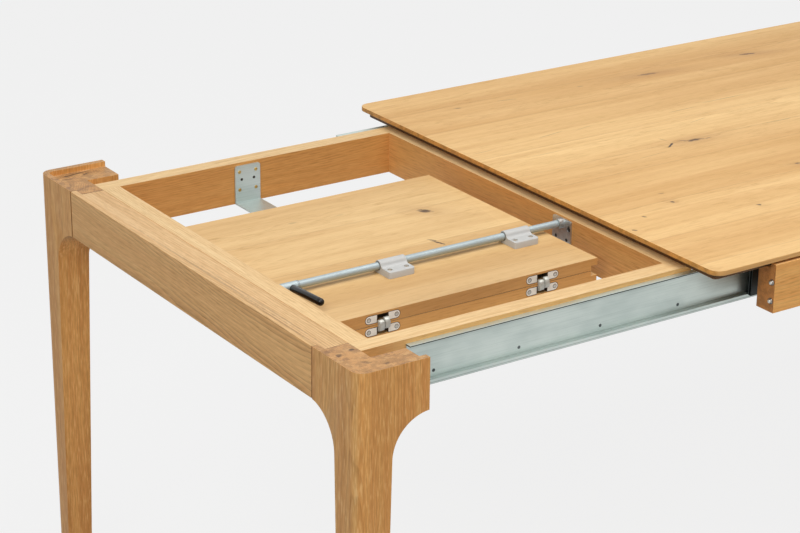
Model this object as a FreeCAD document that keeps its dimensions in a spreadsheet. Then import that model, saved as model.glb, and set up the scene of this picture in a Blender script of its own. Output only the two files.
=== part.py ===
"""Extension dining table, shown with its end frame pulled out and its folding leaf stored in the well.

Frame: +X along the table towards the fixed end, +Y across it, +Z up; the origin is on the floor under
the middle of the whole table as it stands here. Below, x is measured from the outer face of the end
apron, so that each value can be read off the table with a tape; y is measured from the centre line.
"""
import FreeCAD, Part  # noqa: E401

import operator
import os

import Sketcher

SIZES = {
    # whole table
    "table_height": 760.0,
    # tabletop: a thin lip all round over a lower layer that is set back in a rebate
    "top_length": 1800.0,
    "top_width": 1000.0,
    "top_thick": 20.0,
    "top_lip": 8.0,
    "corner_round": 20.0,
    "end_rebate": 13.0,
    "side_rebate": 17.0,
    # raised rim round the frame, how far it stands out past the top, and the gap under the lip
    "rim_stand": 2.0,
    "rim_width": 11.0,
    "lip_gap": 4.0,
    "seat_gap": 1.0,
    # aprons and legs
    "apron_drop": 81.0,
    "apron_thick": 61.0,
    "side_apron_thick": 38.0,
    "apron_play": 1.0,
    "leg_block": 120.0,
    "stem_length": 58.0,
    "stem_width": 61.0,
    "foot_size": 45.0,
    "flare_radius": 65.0,
    "leg_round": 20.0,
    "joint_groove": 2.0,
    "glide_radius": 14.0,
    "glide_thick": 3.0,
    # locating studs between a side apron and the leg that closes against it
    "stud_radius": 3.5,
    "stud_reach": 5.0,
    "stud_depth": 15.0,
    "stud_clear": 2.0,
    "stud_inset": 7.0,
    "stud_drop": 31.0,
    "stud_pitch": 31.0,
    "stud_play": 0.5,
    # box frame that carries the leaf
    "rail_thick": 32.0,
    "rail_height": 75.0,
    "pocket_play": 7.0,
    "tuck_under": 25.0,
    # telescopic slides: three channels a side, the middle one round the inner one's upper flange
    "slide_start": 137.0,
    "slide_length": 800.0,
    "slide_height": 68.5,
    "slide_drop": 7.0,
    "slide_wall": 2.0,
    "race_depth": 11.0,
    "race_height": 7.0,
    "stage_play": 0.5,
    "stage_rise": 5.5,
    "stage_travel": 230.0,
    "outer_wall": 1.5,
    "slide_reach": 18.5,
    "slide_screw": 2.5,
    "slide_screw_start": 48.0,
    "slide_screw_pitch": 153.7,
    "slide_screw_lift": 16.0,
    "slide_screw_depth": 18.0,
    "spacer_thick": 30.0,
    "spacer_height": 56.0,
    "spacer_inset": 80.0,
    # folding leaf
    "leaf_length": 500.0,
    "leaf_lip": 8.4,
    "leaf_rebate": 27.0,
    "leaf_tongue": 12.0,
    "leaf_margin": 2.0,
    "leaf_slack": 33.0,
    "leaf_parting": 0.4,
    # pivot rod, its plate and its two saddles
    "rod_radius": 6.0,
    "rod_offset": 132.5,
    "pivot_height": 12.0,
    "rod_seat": 20.0,
    "rod_end_play": 1.0,
    "running_play": 0.05,
    "plate_width": 48.0,
    "plate_height": 60.0,
    "plate_thick": 3.0,
    "plate_rise": 8.0,
    "plate_round": 3.0,
    "collar_radius": 9.0,
    "collar_length": 10.0,
    "keyhole_radius": 4.5,
    "keyhole_neck": 2.2,
    "keyhole_offset": 19.0,
    "keyhole_length": 7.0,
    "plate_screw": 1.9,
    "plate_screw_offset": 14.0,
    "plate_screw_drop": 26.5,
    "plate_screw_pitch": 18.0,
    "wood_screw_depth": 16.0,
    "screw_play": 0.1,
    "ring_radius": 7.2,
    "ring_width": 1.6,
    "saddle_length": 48.0,
    "saddle_first": 205.0,
    "saddle_pitch": 242.0,
    "saddle_base": 11.0,
    "saddle_front": 33.0,
    "saddle_back": 12.0,
    "saddle_radius": 9.0,
    "saddle_round": 4.0,
    "saddle_cove": 8.0,
    "saddle_screw": 2.0,
    "saddle_screw_head": 4.0,
    "saddle_screw_offset": 21.0,
    "saddle_screw_pitch": 31.0,
    "saddle_screw_sink": 5.0,
    "saddle_screw_depth": 10.0,
    # turning lever at the rod's outer end
    "sleeve_radius": 7.2,
    "sleeve_length": 34.0,
    "side_play": 0.3,
    "lever_place": 22.3,
    "lever_rise": 3.5,
    "lever_reach": 94.0,
    "arm_radius": 4.0,
    "grip_radius": 6.0,
    "grip_start": 9.0,
    # concealed hinges between the leaf's halves
    "hinge_length": 62.0,
    "hinge_height": 12.5,
    "hinge_depth": 20.0,
    "hinge_gap": 21.0,
    "hinge_gap_depth": 14.0,
    "hinge_first": 102.5,
    "hinge_pitch": 300.0,
    "hinge_play": 0.1,
    "hinge_core": 40.0,
    "hinge_ear": 4.0,
    "hinge_screw": 1.8,
    "hinge_screw_head": 3.4,
    "hinge_screw_rim": 1.2,
    "hinge_screw_sink": 0.6,
    "hinge_screw_inset": 6.0,
    "hinge_screw_depth": 20.0,
    "link_width": 20.0,
    "link_inner": 7.0,
    "link_outer": 13.0,
    "link_entry": 1.0,
    # bracket under the far side of the leaf
    "bracket_place": 222.5,
    "bracket_width": 50.5,
    "bracket_thick": 3.0,
    "bracket_height": 70.0,
    "bracket_round": 5.0,
    "bracket_under": 18.0,
    "bracket_screw": 2.2,
    "bracket_head": 3.6,
    "bracket_head_rise": 1.6,
    "bracket_screw_offset": 16.4,
    "bracket_screw_low": 25.6,
    "bracket_screw_pitch": 33.0,
    "bracket_hole_offset": 12.3,
    "bracket_hole_lift": 44.4,
    "pad_play": 0.3,
    # how far a cutting shape runs out past the face that it cuts
    "overcut": 1.0,
}

doc = FreeCAD.newDocument("extension_table")
sheet = doc.addObject("Spreadsheet::Sheet", "sizes")
for row, (alias, number) in enumerate(SIZES.items(), start=1):
    sheet.set(f"A{row}", alias.replace("_", " "))
    sheet.set(f"B{row}", str(number))
    sheet.setAlias(f"B{row}", alias)
doc.recompute()


class Size:
    """A length or angle: its number now, and the sheet expression that gives it."""

    SIGNS = {"+": operator.add, "-": operator.sub, "*": operator.mul, "/": operator.truediv}

    def __init__(self, value, text):
        self.value, self.text = value, text

    def _with(self, sign, left, right):
        left, right = as_size(left), as_size(right)
        return Size(self.SIGNS[sign](left.value, right.value), f"({left.text} {sign} {right.text})")

    def __add__(self, other):
        return self._with("+", self, other)

    def __radd__(self, other):
        return self._with("+", other, self)

    def __sub__(self, other):
        return self._with("-", self, other)

    def __rsub__(self, other):
        return self._with("-", other, self)

    def __mul__(self, other):
        return self._with("*", self, other)

    def __rmul__(self, other):
        return self._with("*", other, self)

    def __truediv__(self, other):
        return self._with("/", self, other)

    def __neg__(self):
        return self._with("-", 0, self)


def as_size(value):
    return value if isinstance(value, Size) else Size(float(value), repr(float(value)))


class Sheet:
    """The sheet's cells by alias, as Size values."""

    def __getattr__(self, alias):
        return Size(SIZES[alias], f"sizes.{alias}")


D = Sheet()
over = D.overcut

# Along the table: the well holds the leaf, and the top's edge covers the well's inner rail.
well_near = D.apron_thick + D.rail_thick
leaf_start = well_near + D.leaf_margin
leaf_end = leaf_start + D.leaf_length
well_far = leaf_end + D.leaf_tongue + D.leaf_slack
box_end = well_far + D.rail_thick
pull_out = box_end - D.tuck_under
total = pull_out + D.top_length
TURN = {
    "x": FreeCAD.Rotation(FreeCAD.Vector(0, 1, 0), 90),
    "y": FreeCAD.Rotation(FreeCAD.Vector(1, 0, 0), -90),
    "z": FreeCAD.Rotation(),
}
nodes = []


def put(piece, corner, rotation=None):
    """Place a primitive's own origin at corner, with x from the end apron's outer face."""
    x, y, z = (as_size(v) for v in corner)
    x = x - total / 2
    base = FreeCAD.Vector(x.value, y.value, z.value)
    piece.Placement = FreeCAD.Placement(base, rotation or FreeCAD.Rotation())
    for axis, size in zip("xyz", (x, y, z)):
        piece.setExpression(f"Placement.Base.{axis}", size.text)
    return piece


def box(x, y, z):
    """A block between two limits along each axis."""
    piece = doc.addObject("Part::Box", "Block")
    for prop, (low, high) in zip(("Length", "Width", "Height"), (x, y, z)):
        piece.setExpression(prop, (as_size(high) - low).text)
    return put(piece, (x[0], y[0], z[0]))


def rod(axis, start, radius, length, rotation=None):
    """A cylinder along an axis, from the middle of its first end face."""
    piece = doc.addObject("Part::Cylinder", "Rod")
    piece.setExpression("Radius", as_size(radius).text)
    piece.setExpression("Height", as_size(length).text)
    return put(piece, start, rotation or TURN[axis])


def fuse(*pieces):
    joined = doc.addObject("Part::MultiFuse", "Joined")
    joined.Shapes = list(pieces)
    joined.Refine = True
    return joined


def cut(base, *tools):
    piece = doc.addObject("Part::Cut", "Cut")
    piece.Base = base
    piece.Tool = tools[0] if len(tools) == 1 else fuse(*tools)
    piece.Refine = True
    return piece


def node(label, piece):
    """Name a finished sub-part; its label is its file's name."""
    piece.Label = label
    nodes.append(piece)
    return piece


def mirrored(label, source, normal):
    """The same sub-part on the other side of the middle plane square to normal."""
    piece = doc.addObject("Part::Mirroring", "Mirrored")
    piece.Source = source
    piece.Normal = FreeCAD.Vector(*normal)
    return node(label, piece)


def both_sides(name, piece):
    node(f"{name}_near", piece)
    mirrored(f"{name}_far", piece, (0, 1, 0))


def slab(axis, first, second, depth, radius):
    """A plate with four rounded corners, square to axis; first and second are its other two ranges."""
    (a0, a1), (b0, b1) = first, second
    order = {"x": (2, 0, 1), "y": (0, 2, 1), "z": (0, 1, 2)}[axis]

    def ranges(*spans):
        return [spans[i] for i in order]

    pieces = [
        box(*ranges((a0 + radius, a1 - radius), (b0, b1), depth)),
        box(*ranges((a0, a1), (b0 + radius, b1 - radius), depth)),
    ]
    for a in (a0 + radius, a1 - radius):
        for b in (b0 + radius, b1 - radius):
            start = ranges(a, b, depth[0])
            pieces.append(rod(axis, start, radius, as_size(depth[1]) - depth[0]))
    return fuse(*pieces)


def corner_waste(x, y, into_x, into_y, radius, z):
    """What rounding a vertical outer corner takes away; into_x and into_y point into the wood."""
    ends = []
    for at, into in ((x, into_x), (y, into_y)):
        ends.append((at, at + radius) if into > 0 else (at - radius, at))
    middle = (x + into_x * radius, y + into_y * radius, z[0] - over)
    outside = box(*ends, z)
    return cut(outside, rod("z", middle, radius, as_size(z[1]) - z[0] + 2 * over))


def section_body(name, outline, x, length):
    """A bar along X whose section is a closed outline of (y, z) corners."""
    body = doc.addObject("PartDesign::Body", name)
    plane = next(f for f in body.Origin.OriginFeatures if f.Role == "YZ_Plane")
    sketch = body.newObject("Sketcher::SketchObject", name + "_section")
    sketch.AttachmentSupport = (plane, [""])
    sketch.MapMode = "FlatFace"
    corners = [FreeCAD.Vector(y.value, z.value, 0) for y, z in outline]
    count = len(corners)
    for i, corner in enumerate(corners):
        sketch.addGeometry(Part.LineSegment(corner, corners[(i + 1) % count]), False)
    for i in range(count):
        sketch.addConstraint(Sketcher.Constraint("Coincident", i, 2, (i + 1) % count, 1))
    for i, (y, z) in enumerate(outline):
        for kind, size in (("DistanceX", y), ("DistanceY", z)):
            at = sketch.addConstraint(Sketcher.Constraint(kind, -1, 1, i, 1, size.value))
            sketch.setExpression(f"Constraints[{at}]", size.text)
    pad = body.newObject("PartDesign::Pad", name + "_bar")
    pad.Profile = sketch
    pad.setExpression("Length", as_size(length).text)
    put(body, (x, 0, 0))
    return body


half = D.top_width / 2 + D.rim_stand
top = D.table_height
lip = top - D.top_lip
rim = lip - D.lip_gap
under = top - D.top_thick
seat = under - D.seat_gap
apron_low = rim - D.apron_drop
joint = half - D.leg_block
box_half = half - D.side_apron_thick - D.spacer_thick - D.slide_reach
well_half = box_half - D.rail_thick
pocket_wall = box_half + D.slide_reach + D.pocket_play
rail_low = seat - D.rail_height
apron_start = D.leg_block + pull_out + D.apron_play

rod_y = -D.rod_offset
rod_z = under - D.pivot_height
leaf_top = rod_z - D.pivot_height
fold = leaf_top - D.top_thick
parting = D.leaf_parting / 2
hinge_edge = rod_y - D.rod_offset
leaf_far = hinge_edge + D.top_width / 2
rod_hole = D.rod_radius + D.running_play


# --- legs and aprons ---------------------------------------------------------------------------

def leg_wood(ledge):
    """A corner leg at the outer corner x = 0, y = -half: square block, flares and a tapered stem."""
    stem_top = apron_low - D.flare_radius
    floor = D.glide_thick
    block = box((0, D.leg_block), (-half, -joint), (apron_low, rim))
    stem = doc.addObject("Part::Wedge", "Stem")
    limits = {
        "Xmin": 0, "X2min": 0, "Xmax": D.foot_size, "X2max": D.stem_length,
        "Ymin": 0, "Ymax": stem_top - floor,
        "Zmin": half - D.foot_size, "Z2min": half - D.stem_width, "Zmax": half, "Z2max": half,
    }
    for prop, size in limits.items():
        setattr(stem, prop, as_size(size).value)
        stem.setExpression(prop, as_size(size).text)
    put(stem, (0, 0, floor), FreeCAD.Rotation(FreeCAD.Vector(1, 0, 0), 90))
    flare = cut(
        box((0, D.leg_block), (-half, -joint), (stem_top, apron_low)),
        rod("y", (D.stem_length + D.flare_radius, -half - over, stem_top), D.flare_radius,
            D.leg_block + 2 * over),
        rod("x", (-1, -(half - D.stem_width - D.flare_radius), stem_top), D.flare_radius,
            D.leg_block + 2 * over),
    )
    wood = fuse(block, stem, flare)
    recess = (ledge, rim + over)
    inner = (D.rim_width, -half + D.rim_width)
    step = cut(box((inner[0], D.leg_block + over), (inner[1], -joint + over), recess),
               corner_waste(*inner, 1, 1, D.leg_round - D.rim_width, recess))
    rounding = corner_waste(as_size(0), -half, 1, 1, D.leg_round, (as_size(0), rim + over))
    return wood, [step, rounding]


def foot_glides(x, name):
    """A disc under each foot of one end of the table; x is the middle of the feet."""
    middle = half - D.foot_size / 2
    node(name, fuse(*[rod("z", (x, side * middle, 0), D.glide_radius, D.glide_thick)
                      for side in (-1, 1)]))


def cross_apron(name, x, face, top_edge):
    """An apron across one end; x is its range, face its outer side, with a groove at each leg."""
    rim_x = (x[0], x[0] + D.rim_width) if face < 0 else (x[1] - D.rim_width, x[1])
    outer = x[0] if face < 0 else x[1]
    groove = (outer - D.joint_groove, outer + D.joint_groove)
    node(name, cut(
        fuse(box(x, (-joint, joint), (apron_low, top_edge)),
             box(rim_x, (-joint, joint), (apron_low, rim))),
        box(groove, (-joint - over, -joint + D.joint_groove), (apron_low - over, rim + over)),
        box(groove, (joint - D.joint_groove, joint + over), (apron_low - over, rim + over)),
    ))


def stud_line(start, radius, length):
    """Cylinders along X on the two studs of the near side."""
    y = -half + D.stud_inset
    upper = rim - D.stud_drop
    return [rod("x", (start, y, z), radius, length) for z in (upper, upper - D.stud_pitch)]


wood, waste = leg_wood(seat)
notch = box((D.apron_thick, D.leg_block + over), (-pocket_wall, -joint + over),
            (apron_low - D.flare_radius, rim + over))
stud_holes = stud_line(D.leg_block - D.stud_reach - D.stud_clear, D.stud_radius + D.stud_play,
                       D.stud_reach + D.stud_clear + over)
both_sides("end_leg", cut(wood, *waste, notch, *stud_holes))

wood, waste = leg_wood(under)
fixed_leg = cut(wood, *waste)
fixed_near = mirrored("fixed_leg_near", fixed_leg, (1, 0, 0))
mirrored("fixed_leg_far", fixed_near, (0, 1, 0))

foot_glides(D.foot_size / 2, "foot_glides_end")
foot_glides(total - D.foot_size / 2, "foot_glides_fixed")

cross_apron("end_apron", (as_size(0), D.apron_thick), -1, seat)
cross_apron("fixed_end_apron", (total - D.apron_thick, total), 1, under)
side_span = (apron_start, total - D.leg_block)
side_apron = fuse(
    box(side_span, (-half, -half + D.side_apron_thick), (apron_low, under)),
    box(side_span, (-half, -half + D.rim_width), (apron_low, rim)),
)
both_sides("side_apron", cut(
    side_apron, *stud_line(apron_start - over, D.stud_radius + D.screw_play, D.stud_depth + over)))
both_sides("locating_studs", fuse(
    *stud_line(apron_start - D.stud_reach, D.stud_radius, D.stud_reach + D.stud_depth)))


# --- tabletop ----------------------------------------------------------------------------------

inner_round = D.corner_round - D.end_rebate
node("tabletop", fuse(
    slab("z", (pull_out, total), (-D.top_width / 2, D.top_width / 2), (lip, top), D.corner_round),
    slab("z", (pull_out + D.end_rebate, total - D.end_rebate),
         (-D.top_width / 2 + D.side_rebate, D.top_width / 2 - D.side_rebate), (under, lip),
         inner_round),
))


# --- box frame of the leaf well ----------------------------------------------------------------

def slide_screws(side, outer, radius):
    """Cylinders square to a box rail, on the four screws of its slide; side is -1 near, 1 far."""
    z = rail_low + D.slide_screw_lift
    depth = D.slide_screw_depth
    first = D.slide_start + D.slide_screw_start
    low = -(box_half + outer) if side < 0 else box_half - depth
    return [rod("y", (first + i * D.slide_screw_pitch, low, z), radius, depth + outer)
            for i in range(4)]


def bracket_points(offset, lift):
    middle = well_near + D.bracket_place + D.bracket_width / 2
    return [(middle + side * offset, rail_low + lift) for side in (-1, 1)]


def bracket_screws(start, radius, length):
    """Cylinders square to the far rail, on the bracket's four screws."""
    found = []
    for lift in (D.bracket_screw_low, D.bracket_screw_low + D.bracket_screw_pitch):
        for x, z in bracket_points(D.bracket_screw_offset, lift):
            found.append(rod("y", (x, start, z), radius, length))
    return found


near_rail = box((D.apron_thick, box_end), (-box_half, -well_half), (rail_low, seat))
node("well_rail_near", cut(near_rail, *slide_screws(-1, over, D.slide_screw + D.screw_play)))
far_rail = box((D.apron_thick, box_end), (well_half, box_half), (rail_low, seat))
node("well_rail_far", cut(
    far_rail,
    *slide_screws(1, over, D.slide_screw + D.screw_play),
    *bracket_screws(well_half - over, D.bracket_screw + D.screw_play, D.wood_screw_depth / 2 + over),
))
node("well_rail_outer", cut(
    box((D.apron_thick, well_near), (-well_half, well_half), (rail_low, seat)),
    rod("x", (well_near - D.rod_seat, rod_y, rod_z), rod_hole, D.rod_seat + over),
))

plate_top = rod_z + D.plate_rise


def plate_screws(start, radius, length):
    """Cylinders along X on the four screws of the pivot plate."""
    upper = rod_z - D.plate_screw_drop
    return [rod("x", (start, rod_y + side * D.plate_screw_offset, z), radius, length)
            for z in (upper, upper - D.plate_screw_pitch) for side in (-1, 1)]


node("well_rail_inner", cut(
    box((well_far, box_end), (-well_half, well_half), (rail_low, seat)),
    rod("x", (well_far - over, rod_y, rod_z), rod_hole, D.rod_seat + over),
    *plate_screws(well_far - over, D.plate_screw + D.screw_play, D.wood_screw_depth + over),
))


# --- telescopic slides -------------------------------------------------------------------------

slide_top = seat - D.slide_drop
slide_low = slide_top - D.slide_height
slide_mid = (slide_top + slide_low) / 2


def near_outline(*corners):
    """Corners given as (distance out from the near rail, height)."""
    return [(-(box_half + out), height) for out, height in corners]


wall, race = D.slide_wall, D.race_depth
ledge = slide_low + D.race_height
inner_channel = section_body("InnerChannel", near_outline(
    (as_size(0), slide_top), (race, slide_top), (race, slide_top - wall), (wall, slide_top - wall),
    (wall, ledge), (race, ledge), (race, slide_low), (race - wall, slide_low),
    (race - wall, ledge - wall), (wall, ledge - wall), (wall, slide_low), (as_size(0), slide_low),
), D.slide_start, D.slide_length)
both_sides("slide_inner",
           cut(inner_channel, *slide_screws(-1, wall + over, D.slide_screw + D.screw_play)))
node("slide_screws_near", fuse(*slide_screws(-1, wall, D.slide_screw)))
node("slide_screws_far", fuse(*slide_screws(1, wall, D.slide_screw)))

high, low = slide_top + D.stage_rise, ledge + D.stage_play
back, face = 2 * wall, race + D.stage_play
front = face + wall
outer_start = D.slide_start + pull_out


def middle_channel(name, start):
    """The channel between the inner and the outer one, open towards the rail."""
    return section_body(name, near_outline(
        (back, high), (front, high), (front, low), (back, low), (back, low + wall),
        (face, low + wall), (face, high - wall), (back, high - wall),
    ), start, D.slide_length)


node("slide_middle_near", middle_channel("MiddleNear", outer_start))
mirrored("slide_middle_far", middle_channel("MiddleFar", outer_start - D.stage_travel), (0, 1, 0))

sheet_wall, outside = D.outer_wall, D.slide_reach
cap, sole = high + D.stage_play / 2, low - D.stage_play / 2
both_sides("slide_outer", section_body("OuterChannel", near_outline(
    (back, cap + sheet_wall), (outside, cap + sheet_wall), (outside, sole - sheet_wall),
    (face, sole - sheet_wall), (face, sole), (outside - sheet_wall, sole),
    (outside - sheet_wall, cap), (back, cap),
), outer_start, D.slide_length))
both_sides("slide_spacer", box(
    (outer_start + D.spacer_inset, outer_start + D.slide_length),
    (-half + D.side_apron_thick, -(box_half + D.slide_reach)),
    (slide_mid - D.spacer_height / 2, slide_mid + D.spacer_height / 2),
))


# --- bracket under the far side of the stored leaf ---------------------------------------------

bracket_x = (well_near + D.bracket_place, well_near + D.bracket_place + D.bracket_width)
bracket_face = well_half - D.bracket_thick
bracket_top = rail_low + D.bracket_height
shelf_top = rail_low + D.bracket_thick
shelf_end = leaf_far - D.leaf_rebate - D.bracket_under
upright = fuse(
    slab("y", bracket_x, (bracket_top - 3 * D.bracket_round, bracket_top),
         (bracket_face, well_half), D.bracket_round),
    box(bracket_x, (bracket_face, well_half), (rail_low, bracket_top - D.bracket_round)),
    box(bracket_x, (shelf_end, well_half), (rail_low, shelf_top)),
)
plain_holes = [rod("y", (x, bracket_face - over, z), D.bracket_screw, D.bracket_thick + 2 * over)
               for x, z in bracket_points(D.bracket_hole_offset, D.bracket_hole_lift)]
node("leaf_bracket", cut(
    upright, *plain_holes,
    *bracket_screws(bracket_face - over, D.bracket_screw + D.screw_play, D.bracket_thick + 2 * over),
))
head_start = bracket_face - D.bracket_head_rise
node("bracket_screws", fuse(
    *bracket_screws(head_start, D.bracket_head, D.bracket_head_rise),
    *bracket_screws(head_start, D.bracket_screw,
                    D.bracket_head_rise + D.bracket_thick + D.wood_screw_depth / 2),
))
node("bracket_pad", box(bracket_x, (shelf_end, shelf_end + D.bracket_under),
                        (shelf_top, fold - D.top_thick - D.pad_play)))


# --- pivot rod, its plate and the turning lever ------------------------------------------------

rod_start = well_near - D.rod_seat + D.rod_end_play
rod_end = well_far + D.rod_seat - D.rod_end_play
node("pivot_rod", rod("x", (rod_start, rod_y, rod_z), D.rod_radius, rod_end - rod_start))

keyholes = []
for side in (-1, 1):
    y = rod_y + side * D.keyhole_offset
    low_z = rod_z - D.keyhole_length
    keyholes.append(rod("x", (well_far - D.plate_thick - over, y, low_z), D.keyhole_radius,
                        D.plate_thick + 2 * over))
    keyholes.append(box((well_far - D.plate_thick - over, well_far + over),
                        (y - D.keyhole_neck, y + D.keyhole_neck), (low_z, low_z + D.keyhole_length)))
node("pivot_plate", cut(
    fuse(
        slab("x", (rod_y - D.plate_width / 2, rod_y + D.plate_width / 2),
             (plate_top - D.plate_height, plate_top), (well_far - D.plate_thick, well_far),
             D.plate_round),
        rod("x", (well_far - D.plate_thick - D.collar_length, rod_y, rod_z), D.collar_radius,
            D.collar_length + over),
    ),
    rod("x", (well_far - D.plate_thick - D.collar_length - over, rod_y, rod_z), rod_hole,
        D.collar_length + D.plate_thick + 2 * over),
    *keyholes,
    *plate_screws(well_far - D.plate_thick - over, D.plate_screw + D.screw_play, D.plate_thick + 2 * over),
))
node("plate_screws", fuse(*plate_screws(well_far - D.plate_thick, D.plate_screw,
                                        D.plate_thick + D.wood_screw_depth)))

sleeve_start = well_near + D.side_play
ring_start = sleeve_start + D.sleeve_length + D.side_play
node("rod_ring", cut(
    rod("x", (ring_start, rod_y, rod_z), D.ring_radius, D.ring_width),
    rod("x", (ring_start - over, rod_y, rod_z), D.rod_radius, D.ring_width + 2 * over),
))


def lever_turned(piece):
    piece.setExpression("Placement.Rotation.Angle", (90 - D.lever_rise).text)
    return piece


def lever_bar(radius, length):
    """A cylinder from the rod's axis along the lever."""
    tilt = FreeCAD.Rotation(FreeCAD.Vector(1, 0, 0), (90 - D.lever_rise).value)
    start = (well_near + D.lever_place, rod_y, rod_z)
    return lever_turned(rod("z", start, radius, length, tilt))


node("lever_arm", cut(
    fuse(
        rod("x", (sleeve_start, rod_y, rod_z), D.sleeve_radius, D.sleeve_length),
        lever_bar(D.arm_radius, D.lever_reach - D.grip_radius),
    ),
    rod("x", (sleeve_start - over, rod_y, rod_z), rod_hole, D.sleeve_length + 2 * over),
))


def lever_knob():
    """The grip's rounded end, a ball whose far side is the lever's full reach from the rod."""
    ball = doc.addObject("Part::Sphere", "Knob")
    ball.setExpression("Radius", D.grip_radius.text)
    angle = "(sizes.lever_rise * 1 deg)"
    away = (D.lever_reach - D.grip_radius).text
    put(ball, (well_near + D.lever_place, rod_y, rod_z))
    ball.setExpression("Placement.Base.y", f"{rod_y.text} - {away} * cos({angle})")
    ball.setExpression("Placement.Base.z", f"{rod_z.text} + {away} * sin({angle})")
    return ball


node("lever_grip", cut(
    fuse(lever_bar(D.grip_radius, D.lever_reach - D.grip_radius), lever_knob()),
    lever_bar(D.arm_radius + D.screw_play, D.lever_reach - D.grip_radius),
    rod("x", (sleeve_start - over, rod_y, rod_z), D.grip_start, D.sleeve_length + 2 * over),
))


# --- folding leaf ------------------------------------------------------------------------------

def hinge_middles():
    first = leaf_start + D.hinge_first
    return [first, first + D.hinge_pitch]


def hinge_block(middle, z, play=0):
    """One hinge half, let into the leaf's edge: a core between two rounded ears."""
    radius = D.hinge_height / 2 + play
    arm = D.hinge_length / 2 - D.hinge_height / 2
    core = D.hinge_core / 2 + play
    ear = D.hinge_ear + play
    heights = (z - radius, z + radius)
    return fuse(
        box((middle - core, middle + core), (hinge_edge, hinge_edge + D.hinge_depth + play), heights),
        box((middle - arm, middle + arm), (hinge_edge, hinge_edge + ear), heights),
        rod("y", (middle - arm, hinge_edge, z), radius, ear),
        rod("y", (middle + arm, hinge_edge, z), radius, ear),
    )


def hinge_screw_rods(middle, z, start, radius, length):
    """Cylinders square to the leaf's edge, on the two screws of one hinge half."""
    arm = D.hinge_length / 2 - D.hinge_screw_inset
    return [rod("y", (middle + side * arm, start, z), radius, length) for side in (-1, 1)]


def hinge_holes(middle, z):
    """The screw holes of one hinge half, through its ears and on into the wood."""
    return hinge_screw_rods(middle, z, hinge_edge - over, D.hinge_screw + D.screw_play,
                            D.hinge_screw_depth + over)


def hinge_half(label, middle, z):
    gap = box((middle - D.hinge_gap / 2, middle + D.hinge_gap / 2),
              (hinge_edge - over, hinge_edge + D.hinge_gap_depth),
              (z - D.hinge_height, z + D.hinge_height))
    heads = hinge_screw_rods(middle, z, hinge_edge - over, D.hinge_screw_head + D.screw_play,
                             1 + D.hinge_screw_sink + D.hinge_screw_rim)
    node(label, cut(hinge_block(middle, z), gap, *heads, *hinge_holes(middle, z)))


def hinge_screws(label, z):
    """All the screws of the hinge halves in one half of the leaf."""
    pieces = []
    for middle in hinge_middles():
        seat = hinge_edge + D.hinge_screw_sink
        pieces += hinge_screw_rods(middle, z, seat, D.hinge_screw_head, D.hinge_screw_rim)
        pieces += hinge_screw_rods(middle, z, seat, D.hinge_screw,
                                   D.hinge_screw_depth - D.hinge_screw_sink)
    node(label, fuse(*pieces))


def saddle_screw_rods(middle, start, radius, length):
    y = rod_y - D.saddle_screw_offset
    return [rod("z", (middle + side * D.saddle_screw_pitch / 2, y, start), radius, length)
            for side in (-1, 1)]


upper_mid, lower_mid = fold + D.top_thick / 2, fold - D.top_thick / 2
corner = D.corner_round
show_layer = ((leaf_start, leaf_end), (hinge_edge, leaf_far))
tongue_layer = ((leaf_start + D.end_rebate, leaf_end + D.leaf_tongue),
                (hinge_edge, leaf_far - D.leaf_rebate))
panel = fuse(
    box(*show_layer, (fold + parting, fold + D.leaf_lip)),
    box(*tongue_layer, (fold + D.leaf_lip, leaf_top)),
)


def hinge_seats(z):
    """What the hinges take out of one half of the leaf."""
    return [piece for m in hinge_middles()
            for piece in (hinge_block(m, z, D.hinge_play), *hinge_holes(m, z))]


rounding = corner_waste(leaf_start, leaf_far, 1, -1, corner, (fold - over, leaf_top + over))
drilled = []
saddle_middles = (leaf_start + D.saddle_first, leaf_start + D.saddle_first + D.saddle_pitch)
for place in saddle_middles:
    drilled += saddle_screw_rods(place, leaf_top - D.saddle_screw_depth,
                                 D.saddle_screw + D.screw_play, D.saddle_screw_depth + over)
node("leaf_a", cut(panel, rounding, *hinge_seats(upper_mid), *drilled))

lower_panel = fuse(
    box(*show_layer, (fold - D.leaf_lip, fold - parting)),
    box(*tongue_layer, (fold - D.top_thick, fold - D.leaf_lip)),
)
lower_rounding = corner_waste(leaf_start, leaf_far, 1, -1, corner,
                              (fold - D.top_thick - over, fold + over))
node("leaf_b", cut(lower_panel, lower_rounding, *hinge_seats(lower_mid)))

for name, middle in zip(("outer", "inner"), hinge_middles()):
    hinge_half(f"hinge_a_{name}", middle, upper_mid)
    hinge_half(f"hinge_b_{name}", middle, lower_mid)
    start, end = middle - D.link_width / 2, middle + D.link_width / 2
    node(f"hinge_link_{name}", cut(
        rod("x", (start, hinge_edge, fold), D.link_outer, D.link_width),
        rod("x", (start - over, hinge_edge, fold), D.link_inner, D.link_width + 2 * over),
        box((start - over, end + over), (hinge_edge + D.link_entry, hinge_edge + D.link_outer + over),
            (fold - D.link_outer - over, fold + D.link_outer + over)),
    ))

hinge_screws("hinge_screws_a", upper_mid)
hinge_screws("hinge_screws_b", lower_mid)

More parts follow.
